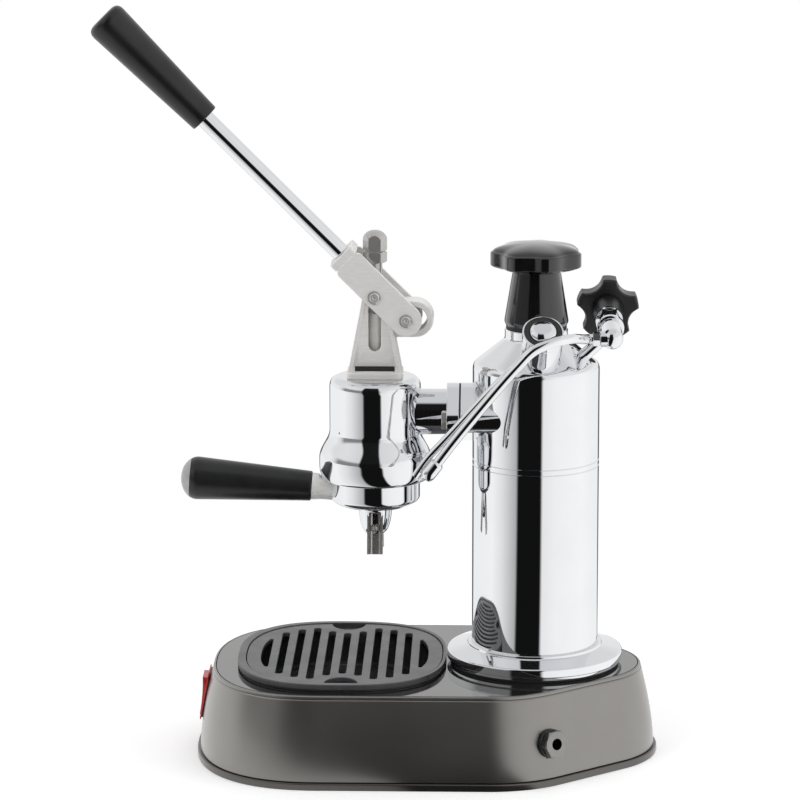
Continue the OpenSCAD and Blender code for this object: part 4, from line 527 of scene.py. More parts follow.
def plate(outlines, thickness, bevel=0.4):
    """Flat plate between z = -thickness/2 and thickness/2: the first outline is its edge, the others are holes. A
    flat curve is filled, given its thickness and a round edge, and read back as triangles. The curve is drawn
    inside the metal by the bevel, which then brings the edge to its place."""
    curve = bpy.data.curves.new("plate", "CURVE")
    curve.dimensions, curve.fill_mode = "2D", "BOTH"
    curve.extrude, curve.bevel_depth, curve.bevel_resolution = thickness / 2 - bevel, bevel, 2
    for k, outline in enumerate(outlines):
        ahead = np.roll(outline, -1, 0) - np.roll(outline, 1, 0)
        x, y = outline.T
        winding = np.sign((x * np.roll(y, -1) - np.roll(x, -1) * y).sum())
        out = winding * np.stack([ahead[:, 1], -ahead[:, 0]], -1) / np.linalg.norm(ahead, axis=1)[:, None]
        drawn = outline + out * (bevel if k else -bevel)
        spline = curve.splines.new("POLY")
        spline.points.add(len(drawn) - 1)
        spline.points.foreach_set("co", np.pad(drawn, ((0, 0), (0, 2))).ravel())
        spline.use_cyclic_u = True
    holder = bpy.data.objects.new("plate", curve)
    bpy.context.scene.collection.objects.link(holder)
    mesh = bpy.data.meshes.new_from_object(holder.evaluated_get(bpy.context.evaluated_depsgraph_get()))
    mesh.calc_loop_triangles()
    points, faces = np.zeros(len(mesh.vertices) * 3), np.zeros(len(mesh.loop_triangles) * 3, int)
    mesh.vertices.foreach_get("co", points)
    mesh.loop_triangles.foreach_get("vertices", faces)
    bpy.data.objects.remove(holder)
    bpy.data.curves.remove(curve)
    bpy.data.meshes.remove(mesh)
    return points.reshape(-1, 3), faces.reshape(-1, 3)


def circle(x, y, r, count=64):
    """Evenly spaced circle."""
    t = full_turn(count)
    return np.stack([x + r * np.cos(t), y + r * np.sin(t)], -1)


def carve(piece, *cutters):
    """Cut closed shells out of a piece, with the exact Boolean, and keep the result as its mesh."""
    tools = [build("cutter", [shell]) for shell in cutters]
    for tool in tools:
        cut = piece.modifiers.new("cut", "BOOLEAN")
        cut.operation, cut.solver, cut.object = "DIFFERENCE", "EXACT", tool
    bpy.context.view_layer.update()
    cut = bpy.data.meshes.new_from_object(piece.evaluated_get(bpy.context.evaluated_depsgraph_get()))
    piece.modifiers.clear()
    old, piece.data = piece.data, cut
    for used in [old, *[tool.data for tool in tools]]:
        bpy.data.meshes.remove(used)
    cut.name = piece.name
    return piece


BOX_CORNERS = np.array([[x, y, z] for z in (0, 1) for x, y in ((0, 0), (1, 0), (1, 1), (0, 1))], float)
BOX_FACES = np.array([[3, 2, 1, 0], [4, 5, 6, 7], [0, 1, 5, 4], [1, 2, 6, 5], [2, 3, 7, 6], [3, 0, 4, 7]])


def block_shell(low, high):
    """Closed box between two corners."""
    return np.asarray(low, float) + BOX_CORNERS * (np.asarray(high, float) - low), BOX_FACES


turn_angles = full_turn(6000)
FRONT_X, FRONT_LEN, DECK_HALF, FRONT_POWER = -65.2, 69.5, 84.0, 2.4
SHOULDER_X, SHOULDER_R, NOSE_X, NOSE_R = 38.0, 60.0, 86.0, 47.5
normal = np.stack([np.cos(turn_angles), np.sin(turn_angles)], -1)
half_turn = np.where(np.sin(turn_angles) < 0, -1.0, 1.0)
deck_line, deck_normal = even(belt([
    oval_points(FRONT_LEN, DECK_HALF, FRONT_POWER, turn_angles) + [FRONT_X, 0],
    np.stack([np.full(len(turn_angles), SHOULDER_X), half_turn * (DECK_HALF - SHOULDER_R)], -1) + SHOULDER_R * normal,
    NOSE_R * normal + [NOSE_X, 0]], turn_angles), turn_angles, 420)
print("deck outline from", deck_line.min(0).round(1), "to", deck_line.max(0).round(1))

# %% [markdown]
# ## Base
# The base is a pressed and painted sheet. Its skirt flares out in a gentle bulge, and its top edge rolls over to the
# deck with a fine dark line. A box with a bevel would miss the bulge, so the skirt is a loft: rows of (offset,
# height) carried round the deck's outline. The deck is a flat plate with two holes, for the tray's basin and for the
# boiler.

# %% Skirt
DECK_Z, FOOT_Z, SHEET, FLARE, BULGE, EDGE_R = 57.0, 5.0, 1.5, 8.9, 1.6, 1.2
EDGE_Z = DECK_Z - EDGE_R


def skirt_offset(z):
    """Offset of the skirt at height z: flare * (1 - h^bulge), with h the share of the way up to the deck."""
    return FLARE * (1 - np.clip((z - FOOT_Z) / (DECK_Z - FOOT_Z), 0, 1) ** BULGE)


rise = np.linspace(FOOT_Z, EDGE_Z, 26)
roll = sweep(0, 90, 9)[1:]
edge_d = skirt_offset(EDGE_Z)
outer = np.stack([skirt_offset(rise), rise], -1)
line_z = EDGE_Z - np.array([1.5, 1.0, 0.5])
groove = np.stack([skirt_offset(line_z) - [0, 0.5, 0], line_z], -1)
outer = np.vstack([outer[rise < line_z[0] - 0.2], groove, outer[-1:]])
rolled = np.stack([edge_d - EDGE_R * (1 - np.cos(roll)), EDGE_Z + EDGE_R * np.sin(roll)], -1)
lip_d = rolled[-1, 0]
inner = np.stack([skirt_offset(rise) - SHEET, rise], -1)[::-1]
levels = np.vstack([outer, rolled, [[lip_d - 0.25, DECK_Z - 0.12], [lip_d - 0.3, DECK_Z - SHEET]], inner])
skirt = build("base_skirt", [skin(rings(deck_line, deck_normal, levels), loop=True)], 50)
SWITCH_AT, LEAN = np.array([-139.909, 0, 35.0]), math.radians(11.03)
SWITCH = dict(at=SWITCH_AT, along=(-math.cos(LEAN), 0, math.sin(LEAN)), toward=(math.sin(LEAN), 0, math.cos(LEAN)))
GLAND = dict(at=(76.277, -78.665, 26.5), along=(0.56638, -0.80888, 0.15789), toward=(0, 0, 1))
window = moved(block_shell([-14.8, -10.9, -18], [14.8, 10.9, 12]), **SWITCH)
carve(skirt, window, turned([[0, -12], [7.9, -12], [7.9, 12], [0, 12]], 64, **GLAND))
dress(skirt, "skirt_paint", "gunmetal", "machine", "base_shell")

# %% Deck
GRILLE_X, TRAY_X, TRAY_POWER, BOILER_X, BOILER_R = -52.5, -54.0, 2.6, 67.0, 39.5
well = oval(59.4, 67.7, TRAY_POWER)[0] + [GRILLE_X, 0]
deck_edge = deck_line + (lip_d - 0.75) * deck_normal
points, faces = plate([deck_edge, well, circle(BOILER_X, 0, BOILER_R + 0.4, 120)], SHEET, 0.25)
deck = build("base_deck", [(points + [0, 0, DECK_Z - SHEET / 2], faces)], 12)
dress(deck, "deck_gloss", "gunmetal", "machine", "base_shell")

# %% Foot trim
TRIM_D, TRIM_H = 10.8, 4.5
levels = soften([[5.2, 0, 0], [TRIM_D, 0, 0.7], [TRIM_D, TRIM_H, 0.9], [4.8, TRIM_H, 0.3], [4.8, 3.5, 0],
                 [-8, 3.4, 0], [-8, 0.1, 0], [5.2, 0, 0]])
plate_points, plate_faces = plate([deck_line - 7 * deck_normal], 3.3, 0.2)
trim = build("foot_trim", [skin(rings(deck_line, deck_normal, levels[:-1]), loop=True),
                           (plate_points + [0, 0, 1.75], plate_faces)], 30)
dress(trim, "foot_paint", "trim", "machine", "bottom_cover")

# %% [markdown]
# ## Switch and cable gland
# A red rocker sits in a red frame over a black box in the front of the skirt. Its top is hollow, and it leans to one
# side. Box and frame are lofts of rounded rectangles, which are superellipses with a high power. The gland is a
# moulded ring and a hexagon with the usual rounded corners.

# %% Switch
def frame_rows(rows, power=9, count=160):
    """Grid of superellipses from rows (half length, half width, height)."""
    rows = np.asarray(rows, float)
    shape = oval(1, 1, power, count)[0]
    return np.concatenate([rows[:, None, :2] * shape[None], np.repeat(rows[:, 2, None, None], count, 1)], -1)


box = soften([[0, 0, -18, 0], [14.6, 10.7, -18, 0.4], [14.6, 10.7, 0.6, 0], [13.3, 9.4, 0.6, 0],
              [13.3, 9.4, -15.4, 0], [0, 0, -15.4, 0]])
dress(build("switch_box", [moved(skin(frame_rows(box)), **SWITCH)]), "black_moulding", "trim", "machine",
      "switch_housing")
bezel = soften([[13.4, 9.5, 0.5, 0], [15.8, 11.9, 0.5, 0.2], [15.8, 11.9, 1.4, 0.5], [13.4, 9.5, 1.4, 0.3],
                [13.4, 9.5, 0.5, 0]])[:-1]
dress(build("switch_bezel", [moved(skin(frame_rows(bezel), loop=True), **SWITCH)]), "red_rocker", "signal_red",
      "machine", "switch_housing")
half, width, pivot, rock, top_middle, hollow = 12.3, 18.0, 3.4, math.radians(6), 6.0, 0.6
top_end = top_middle + hollow
top_x = np.linspace(-half, half, 33)
top_z = top_middle + hollow * (top_x / half) ** 2
side = np.concatenate([np.stack([top_x, top_z], -1), soften(
    [[half, top_end, 0], [half, 2, 1], [half / 2, -4, 1.5], [-half / 2, -4, 1.5], [-half, 2, 1],
     [-half, top_end, 0]])[1:-1]])
across = np.array([[-width / 2, 0.93], [-width / 2 + 0.15, 0.97], [-width / 2 + 0.6, 1.0]])
across = np.vstack([across, across[::-1] * [-1, 1]])
across = np.vstack([[across[0, 0], 0], across, [across[-1, 0], 0]])
middle = np.array([0, 2.5])
grid = np.stack([np.concatenate([(middle + (side - middle) * share), np.full((len(side), 1), y)], 1)
                 for y, share in across])
x, z = grid[..., 0], grid[..., 1]
grid = np.stack([x * math.cos(rock) - z * math.sin(rock), grid[..., 2],
                 x * math.sin(rock) + z * math.cos(rock) - pivot], -1)
points, faces = skin(grid)
pin = turned([[0, -9.8], [1.5, -9.8], [1.5, 9.8], [0, 9.8]], 24, at=(0, 0, -pivot), along=(0, 1, 0))
dress(build("switch_paddle", [(placed(points, **SWITCH), faces), (placed(pin[0], **SWITCH), pin[1])], 30),
      "red_rocker", "signal_red", "switch", "switch_rocker")


# %% Nuts
NUT_POINTS = 144


def hexagon(width, low, high, bore=0.0, twist=0.0, chamfer=1.0, ends=(True, True)):
    """Hexagonal nut: its radius is the smaller of the hexagon's, (width/2) / cos(angle from the nearest flat), and a
    cone that starts at 0.97 of the flats at an end and widens at 60 degrees. That gives the curved corner edges."""
    t = full_turn(NUT_POINTS)
    flat = np.mod(t - twist + np.pi / 6, np.pi / 3) - np.pi / 6
    wide = width / 2 / np.cos(flat)
    rise = np.linspace(0, chamfer, 8)
    inset = np.concatenate([rise if ends[0] else [chamfer] * 8, rise[::-1] if ends[1] else [chamfer] * 8])
    z = np.concatenate([low + rise, high - rise[::-1]])
    r = np.minimum(wide[None], width / 2 * 0.97 + inset[:, None] * math.tan(math.radians(60)))
    hole = [turn([[bore, end]], NUT_POINTS) for end in (low, high)]
    return skin(np.concatenate([hole[0], polar(r, t, z), hole[1]]), loop=bore > 0)


gland_ring = soften([[7.5, -12, 0.5], [7.5, 0.5, 0], [9.0, 0.5, 0.3], [9.0, 2.6, 0.8], [3.6, 2.6, 0], [3.6, -12, 0],
                     [7.5, -12, 0]])[:-1]
dress(build("gland_ring", [turned(gland_ring, 96, True, **GLAND)], 25), "black_moulding", "trim", "machine",
      "cable_gland")
dress(build("gland_nut", [moved(hexagon(15.6, 2.55, 7.6, 3.6, 0, 1.4), **GLAND)], 25), "trim_metal", "trim",
      "machine", "cable_gland")

# %% [markdown]
# ## Drip tray and grille
# The tray is a moulded bowl with a broad rim; the grille lies in it on a ledge. The tray is one loft that runs from
# the middle of its underside, over the rim, to the middle of its floor. The grille's slots are holes in a flat
# plate: straight slots with round ends, shortened where the finger notches reach in, and an outermost slot on each
# side that follows the rim.

# %% Tray
def oval_rows(rows, power=TRAY_POWER, count=240):
    """Grid of superellipses from rows (centre, half length, half width, height)."""
    rows = np.asarray(rows, float)
    flat = np.stack([oval(max(a, 1e-4), max(b, 1e-4), power, count)[0] + [c, 0] for c, a, b, _ in rows])
    return np.concatenate([flat, np.repeat(rows[:, 3, None, None], count, 1)], -1)


tray_rows = soften([
    [GRILLE_X, 0, 0, 33, 0], [GRILLE_X, 59, 67.3, 33, 4], [GRILLE_X, 59, 67.3, 57.1, 0],
    [TRAY_X, 64.3, 73.7, 57.1, 0.3], [TRAY_X, 64.3, 73.7, 58.4, 0.3], [TRAY_X, 65.6, 75, 58.4, 0.4],
    [TRAY_X, 65.6, 75, 61.7, 0.9], [GRILLE_X, 62.1, 70.4, 61.7, 0.6], [GRILLE_X, 62.1, 70.4, 58.1, 0.2],
    [GRILLE_X, 57.2, 65.5, 58.1, 0.5], [GRILLE_X, 57.2, 65.5, 34.8, 4], [GRILLE_X, 0, 0, 34.8, 0]])
dress(build("tray_bowl", [skin(oval_rows(tray_rows))], 40), "tray_satin", "tray_grey", "tray", "drip_tray")

# %% Grille
GRILLE_A, GRILLE_B, MARGIN, PITCH, SLOT = 61.7, 70.0, 9.0, 9.85, 4.6
NOTCH_HALF, NOTCH_DEEP = 10.5, 14.0


def chord(a, b, power, x):
    """Half chord of a superellipse at distance x from its middle: b * (1 - |x/a|^p)^(1/p)."""
    return b * np.clip(1 - np.minimum(1, np.abs(x) / a) ** power, 0, 1) ** (1 / power)


def slot_outline(x):
    """Slot with round ends, kept off the edge and off the notches."""
    near = max(abs(x) - SLOT / 2, 0)
    long_half = min(chord(GRILLE_A - MARGIN, GRILLE_B - MARGIN, TRAY_POWER, x),
                    GRILLE_B - MARGIN - chord(NOTCH_HALF, NOTCH_DEEP, 2, near))
    t = np.linspace(0, np.pi, 17)
    cap = np.stack([x + SLOT / 2 * np.cos(t), long_half - SLOT / 2 + SLOT / 2 * np.sin(t)], -1)
    return np.vstack([cap, 2 * np.array([x, 0]) - cap])


def edge_slot_outline(sign):
    """Outermost slot: one straight side, and one that runs parallel to the rim."""
    inner_x = 5 * PITCH - SLOT / 2
    a, b = GRILLE_A - MARGIN, GRILLE_B - MARGIN
    reach = chord(a, b, TRAY_POWER, inner_x + 1.6)
    y = np.linspace(-reach, reach, 41)
    bow = np.stack([chord(b, a, TRAY_POWER, y), y], -1)
    back = np.stack([np.full(15, inner_x), np.linspace(reach - 0.6, 0.6 - reach, 15)], -1)
    return np.vstack([bow, back]) * [sign, sign]


t = sweep(0, 180, 41)
notch = np.stack([NOTCH_HALF * np.cos(t), GRILLE_B - NOTCH_DEEP * np.sin(t)], -1)
edge = oval(GRILLE_A, GRILLE_B, TRAY_POWER, 400)[0]
upper = edge[edge[:, 1] > 0]
right = upper[(upper[:, 0] > NOTCH_HALF)]
left = upper[(upper[:, 0] < -NOTCH_HALF)]
lip_y = chord(GRILLE_A, GRILLE_B, TRAY_POWER, NOTCH_HALF)
notch = notch[notch[:, 1] < lip_y - 0.4]
top_line = np.vstack([right, [[NOTCH_HALF, lip_y - 0.2]], notch, [[-NOTCH_HALF, lip_y - 0.2]], left])
outline = np.vstack([top_line, -top_line])
slots = [slot_outline(k * PITCH) for k in range(-4, 5)] + [edge_slot_outline(s) for s in (1, -1)]
points, faces = plate([outline, *slots], 3.0, 0.6)
grille = build("slotted_grille", [(points + [GRILLE_X, 0, 59.7], faces)], 12)
dress(grille, "tray_satin", "tray_grey", "grille", "drip_grille")

# %% [markdown]
# ## Boiler
# The boiler is a plated tube with a cone on top and a short neck, bolted down by a foot flange on a dark gasket. All
# three are turned parts. Two fine joint lines run round the tube. Where a long straight side meets a curve, soften()
# adds a point beside the curve, so the mirror stays straight.

# %% Boiler shell, flange and gasket
SHOULDER_Z, NECK_R, NECK_Z = 248.6, 19.6, 264.6
CONE = math.atan2(NECK_Z - SHOULDER_Z, BOILER_R - NECK_R)


def seam(z, deep=0.55, half=0.4):
    """Rows of a fine V groove at height z."""
    return [[BOILER_R, z - half, 0], [BOILER_R - deep, z, 0], [BOILER_R, z + half, 0]]


AT_BOILER = dict(at=(BOILER_X, 0, 0))
SHELL_IN, SHELL_FOOT, NECK_IN, NECK_TOP, LOW_JOINT, HIGH_JOINT = 37.9, 44, 16, 270.8, 185.15, 188.65
shell = soften([[SHELL_IN, SHELL_FOOT, 0], [BOILER_R, SHELL_FOOT, 0], [BOILER_R, 184.4, 0], *seam(LOW_JOINT),
                [BOILER_R, 186, 0], [BOILER_R, 187.9, 0], *seam(HIGH_JOINT), [BOILER_R, 189.6, 0],
                [BOILER_R, SHOULDER_Z, 3.5], [NECK_R, NECK_Z, 1.2], [NECK_R, NECK_TOP, 0.6],
                [NECK_IN, NECK_TOP, 0.4], [NECK_IN, 264.97, 0], [SHELL_IN, 246.26, 0], [SHELL_IN, SHELL_FOOT, 0]],
               8)[:-1]
dress(build("boiler_tube", [turned(shell, 192, True, **AT_BOILER)], 30), "bright_plating", "chrome", "machine",
      "boiler_shell")
flange = soften([[39.55, 58.6, 0], [53.4, 58.6, 0.3], [53.4, 60.5, 0.2], [55, 60.8, 0.5], [55, 65.6, 0.5],
                 [54.4, 66.2, 0.3], [42.2, 69.4, 0.4], [41.9, 71.0, 0.5], [40.6, 71.15, 0.3],
                 [39.55, 70.9, 0], [39.55, 58.6, 0]])[:-1]
dress(build("foot_flange", [turned(flange, 192, True, **AT_BOILER)]), "bright_plating", "chrome", "machine",
      "boiler_flange")
gasket = soften([[39.9, 57.05, 0], [52.6, 57.05, 0.3], [52.6, 58.55, 0.3], [39.9, 58.55, 0]])
dress(build("foot_gasket", [turned(gasket, 128, True, **AT_BOILER)]), "seal_rubber", "rubber", "machine",
      "flange_gasket")

# %% [markdown]
# ## Sight glass
# On the far side a glass tube between two fittings shows the water level, behind a plated guard with a window. The
# guard could be a grid that leaves out some columns; a turned tube with the window cut out of it is shorter.

# %% Sight glass
SIGHT = dict(at=(BOILER_X, BOILER_R + 16, 0))
fittings = []
for low in (93, 207):
    fittings.append(turned(soften([[0, low - 9, 0], [9.5, low - 9, 1.2], [9.5, low - 3, 0.3], [8.8, low - 2.4, 0.3],
                                   [8.8, low + 2.4, 0.3], [9.5, low + 3, 0.3], [9.5, low + 9, 1.2],
                                   [0, low + 9, 0]]), 72, **SIGHT))
    fittings.append(turned(soften([[0, 0, 0], [4, 0, 0], [4, 5, 0.2], [6.2, 5.6, 0.4], [6.2, 8, 0.4], [4, 8.6, 0.2],
                                   [4, 17.6, 0], [0, 17.6, 0]]), 48,
                           at=(BOILER_X, BOILER_R - 3.2, low), along=(0, 1, 0)))
dress(build("gauge_fittings", fittings), "bright_plating", "chrome", "machine", "sight_fittings")
tube_wall = [[4.4, 93.1], [6, 93.1], [6, 206.9], [4.4, 206.9]]
dress(build("gauge_tube", [turned(tube_wall, 64, True, **SIGHT)]), "gauge_glass", "glass", "machine", "sight_glass")
guard = build("gauge_guard", [turned(soften([[8.3, 102.1, 0], [9.5, 102.1, 0.3], [9.5, 197.9, 0.3], [8.3, 197.9, 0],
                                             [8.3, 102.1, 0]])[:-1], 120, True, **SIGHT)])
carve(guard, moved(block_shell([-4.5, 0, 120.05], [4.5, 14, 179.95]), **SIGHT))
dress(guard, "bright_plating", "chrome", "machine", "sight_shield")

# %% [markdown]
# ## Filler cap
# The black cap screws into the neck: a tapered stem and a broad lobed head to grip. The head is a turned part whose
# radius is pulled in by a cosine wave between its lobes.

# %% Cap
def lobed(rows, lobes, depth, twist, around=280):
    """Grid whose radius is r - depth * w * (1 - cos(lobes * (t - twist))) / 2 for rows (r, w, z)."""
    t = full_turn(around)
    valley = (1 - np.cos(lobes * (t - twist))) / 2
    r, w, z = np.asarray(rows, float).T
    radius = np.maximum(r[:, None] - depth * w[:, None] * valley[None], 0)
    return polar(radius, t, z)


a = sweep(4, 90, 16)
head = np.vstack([
    [[0, 0, 306.6], [14.8, 0, 306.6]],
    soften([[14.8, 0, 306.6, 0], [22.5, 0.6, 308.0, 4], [27.8, 1, 310.0, 0.8], [28.7, 1, 310.8, 0.5],
            [28.7, 1, 318.6, 0.6], [28.0, 1, 319.3, 0.3], [27.4, 1, 319.5, 0]], 8)[1:],
    np.stack([27.3 * np.cos(a), np.cos(a) ** 2, 319.3 + 5.1 * np.sin(a)], -1)])
stem = soften([[0, 273.2, 0], [19, 273.2, 0.3], [20, 275.2, 1], [15.6, 302.2, 0.2], [14.6, 308.4, 0],
               [0, 308.4, 0]], 8)
dress(build("cap_grip", [moved(skin(lobed(head, 7, 3.2, math.radians(30.9))), **AT_BOILER),
                         turned(stem, 144, **AT_BOILER)], 40),
      "black_gloss", "handle_black", "cap", "cap_knob")
plug = soften([[0, 257.5, 0], [15.95, 257.5, 0.8], [15.95, 272.2, 0], [18.8, 272.2, 0.2], [18.8, 273.15, 0.3],
               [6, 273.15, 0], [6, 299.2, 0], [0, 299.2, 0]])
dress(build("cap_screw", [turned(plug, 96, **AT_BOILER)]), "black_moulding", "brass", "cap", "cap_plug")
seal = soften([[16.4, 270.9, 0], [18.8, 270.9, 0.3], [18.8, 272.1, 0.3], [16.4, 272.1, 0]])
dress(build("cap_washer", [turned(seal, 96, True, **AT_BOILER)]), "seal_rubber", "rubber", "machine", "cap_seal")

# %% [markdown]
# ## Safety valve
# A short plated barrel stands square on the cone, towards the viewer, with a polished dome in a dark ring for a cap.
# Its foot has to follow the cone. For each direction round the barrel the foot's height comes from the cone's
# equation, solved by halving, so the barrel meets the boiler without a gap.

# %% Safety valve
SAFETY_AT = np.array([69.397, -27.395, 257.249])
SAFETY = dict(at=SAFETY_AT, along=(0.05660, -0.64698, 0.76041), toward=(1, 0, 0))


def boiler_depth(points, inside):
    """How far points lie outside the boiler's cone or tube, grown inwards by inside."""
    r = np.hypot(points[:, 0] - BOILER_X, points[:, 1])
    cone = (points[:, 2] - SHOULDER_Z) * math.cos(CONE) + (r - BOILER_R) * math.sin(CONE)
    return np.maximum(cone, r - BOILER_R) + inside


def foot_heights(r, inside, around, **where):
    """Height at which each side line of a barrel meets the boiler, by 40 halvings."""
    t = full_turn(around)
    low, high = np.full(around, -25.0), np.full(around, 12.0)
    for _ in range(40):
        middle = (low + high) / 2
        line = placed(np.stack([r * np.cos(t), r * np.sin(t), middle], -1), **where)
        outside = boiler_depth(line, inside) > 0
        low, high = np.where(outside, low, middle), np.where(outside, middle, high)
    return high


foot = foot_heights(12.7, 0.25, 128, **SAFETY)
barrel = turn(soften([[0, -4, 0], [12.7, -4, 0], [12.7, 20.9, 0.4], [0, 20.9, 0]]), 128)
barrel[1, :, 2] = foot
dress(build("safety_barrel", [moved(skin(barrel), **SAFETY)]), "bright_plating", "chrome", "machine",
      "safety_valve_body")
a = sweep(2, 90, 18)
lid = np.vstack([soften([[0, 19, 0], [7.1, 19, 0], [7.1, 20.95, 0], [12.7, 20.95, 0.3], [12.7, 25.5, 0.5],
                         [11.7, 25.75, 0.3], [11.4, 24.4, 0.2], [8.5, 24.4, 0.2], [8.4, 25.3, 0]]),
                 np.stack([8.35 * np.cos(a), 25.3 + 4.2 * np.sin(a)], -1)])
dress(build("safety_lid", [turned(lid, 128, **SAFETY)], 40), "bright_plating", "chrome", "machine",
      "safety_valve_cap")
dark_ring = soften([[8.5, 24.3, 0], [11.45, 24.3, 0], [11.5, 25.3, 0.2], [10.2, 25.7, 0.6], [8.5, 25.6, 0.2],
                    [8.5, 24.3, 0]])
dress(build("safety_ring", [turned(dark_ring[:-1], 128, True, **SAFETY)], 40), "seal_rubber", "rubber", "machine",
      "safety_valve_cap")


# %% Relief spring
def frames(path, across):
    """Two unit vectors across a path at each of its points: u = across x heading, v = heading x u."""
    ahead = np.vstack([path[1:2] - path[:1], path[2:] - path[:-2], path[-1:] - path[-2:-1]])
    h = unit(ahead)
    u = unit(np.cross(np.asarray(across, float), h))
    return u, np.cross(h, u)


def tube(path, radius, around=32, across=(0.45, -0.75, 0.5)):
    """Round tube along a path: point (i, j) = path_i + r_i (u_i cos t_j + v_i sin t_j), with closed ends."""
    path = np.asarray(path, float)
    radius = np.broadcast_to(radius, len(path))
    u, v = frames(path, across)
    t = full_turn(around)
    round_row = u[:, None] * np.cos(t)[None, :, None] + v[:, None] * np.sin(t)[None, :, None]
    return closed(path[:, None] + radius[:, None, None] * round_row, path[0], path[-1])


t = np.linspace(0, 3.5 * 2 * np.pi, 141)
coil = np.stack([3.6 * np.cos(t), 3.6 * np.sin(t), np.linspace(13.24, 18.3, 141)], -1)
spring = build("relief_coil", [moved(tube(coil, 0.6, 12, (0, 0, 1)), **SAFETY)], 60)
dress(spring, "turned_steel", "steel", frame["nodes"]["relief_spring"]["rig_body"], "relief_spring")
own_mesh(spring)

# %% [markdown]
# ## Steam valve
# The steam valve lies across the boiler's shoulder: a plated barrel with a round end, a collar, a gland nut and a
# black star knob behind it. A stub joins it to the cone. Turned parts again, each along its own axis.

# %% Valve body, nut and knob
VALVE = dict(at=(113.494, -29.847, 268.163), along=(-0.02084, 0.99484, 0.09932), toward=(1, 0, 0))
OUTLET = np.array([113.385, -24.674, 268.680])
AT_OUTLET = dict(at=OUTLET, along=(-1, 0, 0), toward=(0, 0, 1))
a = sweep(0, 90, 13)
barrel = np.vstack([np.stack([6.75 * np.sin(a), 6.75 * (1 - np.cos(a))], -1),
                    soften([[6.75, 6.9, 0], [6.75, 27, 0.3], [8.4, 27.4, 0.4], [8.4, 30.5, 0.4], [5.5, 30.5, 0],
                            [5.5, 40, 0], [0, 40, 0]])])
stub = turned(soften([[0, -3, 0], [4, -3, 0], [4, 23.5, 1], [0, 23.5, 0]]), 64, at=(95.075, -11.917, 254.687),
              along=(0.6816, -0.2481, 0.6884))
boss = turned(soften([[0, 0, 0], [4.6, 0, 0], [4.6, 7.3, 0.4], [0, 7.3, 0]]), 64, **AT_OUTLET)
dress(build("valve_barrel", [turned(barrel, 96, **VALVE), stub, boss]), "bright_plating", "chrome", "machine",
      "steam_valve_body")
nut = [moved(hexagon(15, 30.9, 44.9, 3.25, math.pi / 6, 1.0, (True, False)), **VALVE),
       turned(soften([[3.25, 44.85, 0], [8.4, 44.85, 0.3], [8.4, 48.9, 0.6], [3.25, 48.9, 0]]), 72, True, **VALVE)]
dress(build("valve_gland_nut", nut, 25), "bright_plating", "satin_nickel", "machine", "steam_gland_nut")
hub = soften([[0, 49.7, 0], [7.4, 49.7, 0.4], [10.4, 67.7, 1], [10.4, 71, 0], [0, 71, 0]])
STAR_R, VALLEY_AT, VALLEY_R, LOBES, BESIDE, CRISP = 19.6, 24.6, 10.0, 5, 3, 1.4


def star_radius(t, twist):
    """Radius of the star: a soft minimum of the tip circle and of round valleys, whose near side lies at
    d cos a - sqrt(rho^2 - d^2 sin^2 a) for an angle a from the valley's middle. Beside the valley it climbs away."""
    a = np.mod(t - twist, 2 * np.pi / LOBES) - np.pi / LOBES
    inside = VALLEY_R ** 2 - (VALLEY_AT * np.sin(a)) ** 2
    near = VALLEY_AT * np.cos(a) + np.where(inside > 0, -np.sqrt(np.maximum(inside, 0)),
                                            BESIDE * (np.abs(VALLEY_AT * np.sin(a)) - VALLEY_R))
    return -np.log(np.exp(-CRISP * near) + np.exp(-CRISP * STAR_R)) / CRISP


t = full_turn(400)
rows = soften([[0, 67.7, 0], [0.94, 67.7, 0.02], [1, 68.8, 0.4], [1, 79.4, 0.5], [0.93, 81.2, 0.3], [0.5, 81.7, 0.1],
               [0, 81.7, 0]], 6)
r = rows[:, :1] * star_radius(t, math.radians(-14.6))[None]
star = polar(r, t, rows[:, 1])
dress(build("valve_star_grip", [turned(hub, 96, **VALVE), moved(skin(star), **VALVE)], 40), "black_handle",
      "handle_black", "steam", "steam_knob")

# %% [markdown]
# ## Steam wand
# A thin plated tube leaves the valve, bends over and runs down beside the group, with a nozzle at its end and a
# thinner tube fixed beside it. The tube's path is a smooth curve through a few points; a circle is carried along it.

# %% Wand
def through(points, steps=14):
    """Smooth curve through points: on each span the cubic with slope (next - previous) / 2 at every point."""
    p = np.asarray(points, float)
    a, b, c, d = p[[0, *range(len(p) - 2)]], p[:-1], p[1:], p[[*range(2, len(p)), -1]]
    u = (np.arange(steps) / steps)[None, :, None]
    a, b, c, d = (q[:, None] for q in (a, b, c, d))
    spans = (2 * b + (c - a) * u + (2 * a - 5 * b + 4 * c - d) * u ** 2 + (3 * b - a - 3 * c + d) * u ** 3) / 2
    return np.vstack([spans.reshape(-1, 3), p[-1:]])


route = OUTLET + np.array([
    [-3.4, 0, 0], [-12.8, 0, 0], [-14.8, 0, 0], [-17.4, -7.5, 1.3], [-24.4, -26, 5.3], [-30.4, -35, 6],
    [-35.9, -39, 5.7], [-48.4, -42, 0.7], [-58.4, -43, -9.1], [-70.9, -43, -23.6], [-93.9, -43, -52.1],
    [-106, -43, -68.2]])
dress(build("wand_tube", [tube(through(route), 3.05, 40)]), "bright_plating", "chrome", "wand", "steam_wand")
end_dir = unit(route[-1] - route[-2])
nozzle = soften([[0, 0, 0], [3.05, 0, 0], [4.4, 1.2, 0.6], [4.4, 10, 2], [3.2, 13, 1.2], [1.2, 13, 0.2],
                 [0.9, 12.4, 0], [0.9, 8, 0], [0, 8, 0]])
dress(build("wand_nozzle", [turned(nozzle, 64, at=route[-1], along=end_dir, toward=(0, 1, 0))]), "bright_plating",
      "chrome", "wand", "wand_tip")
k = np.arange(4)[:, None]
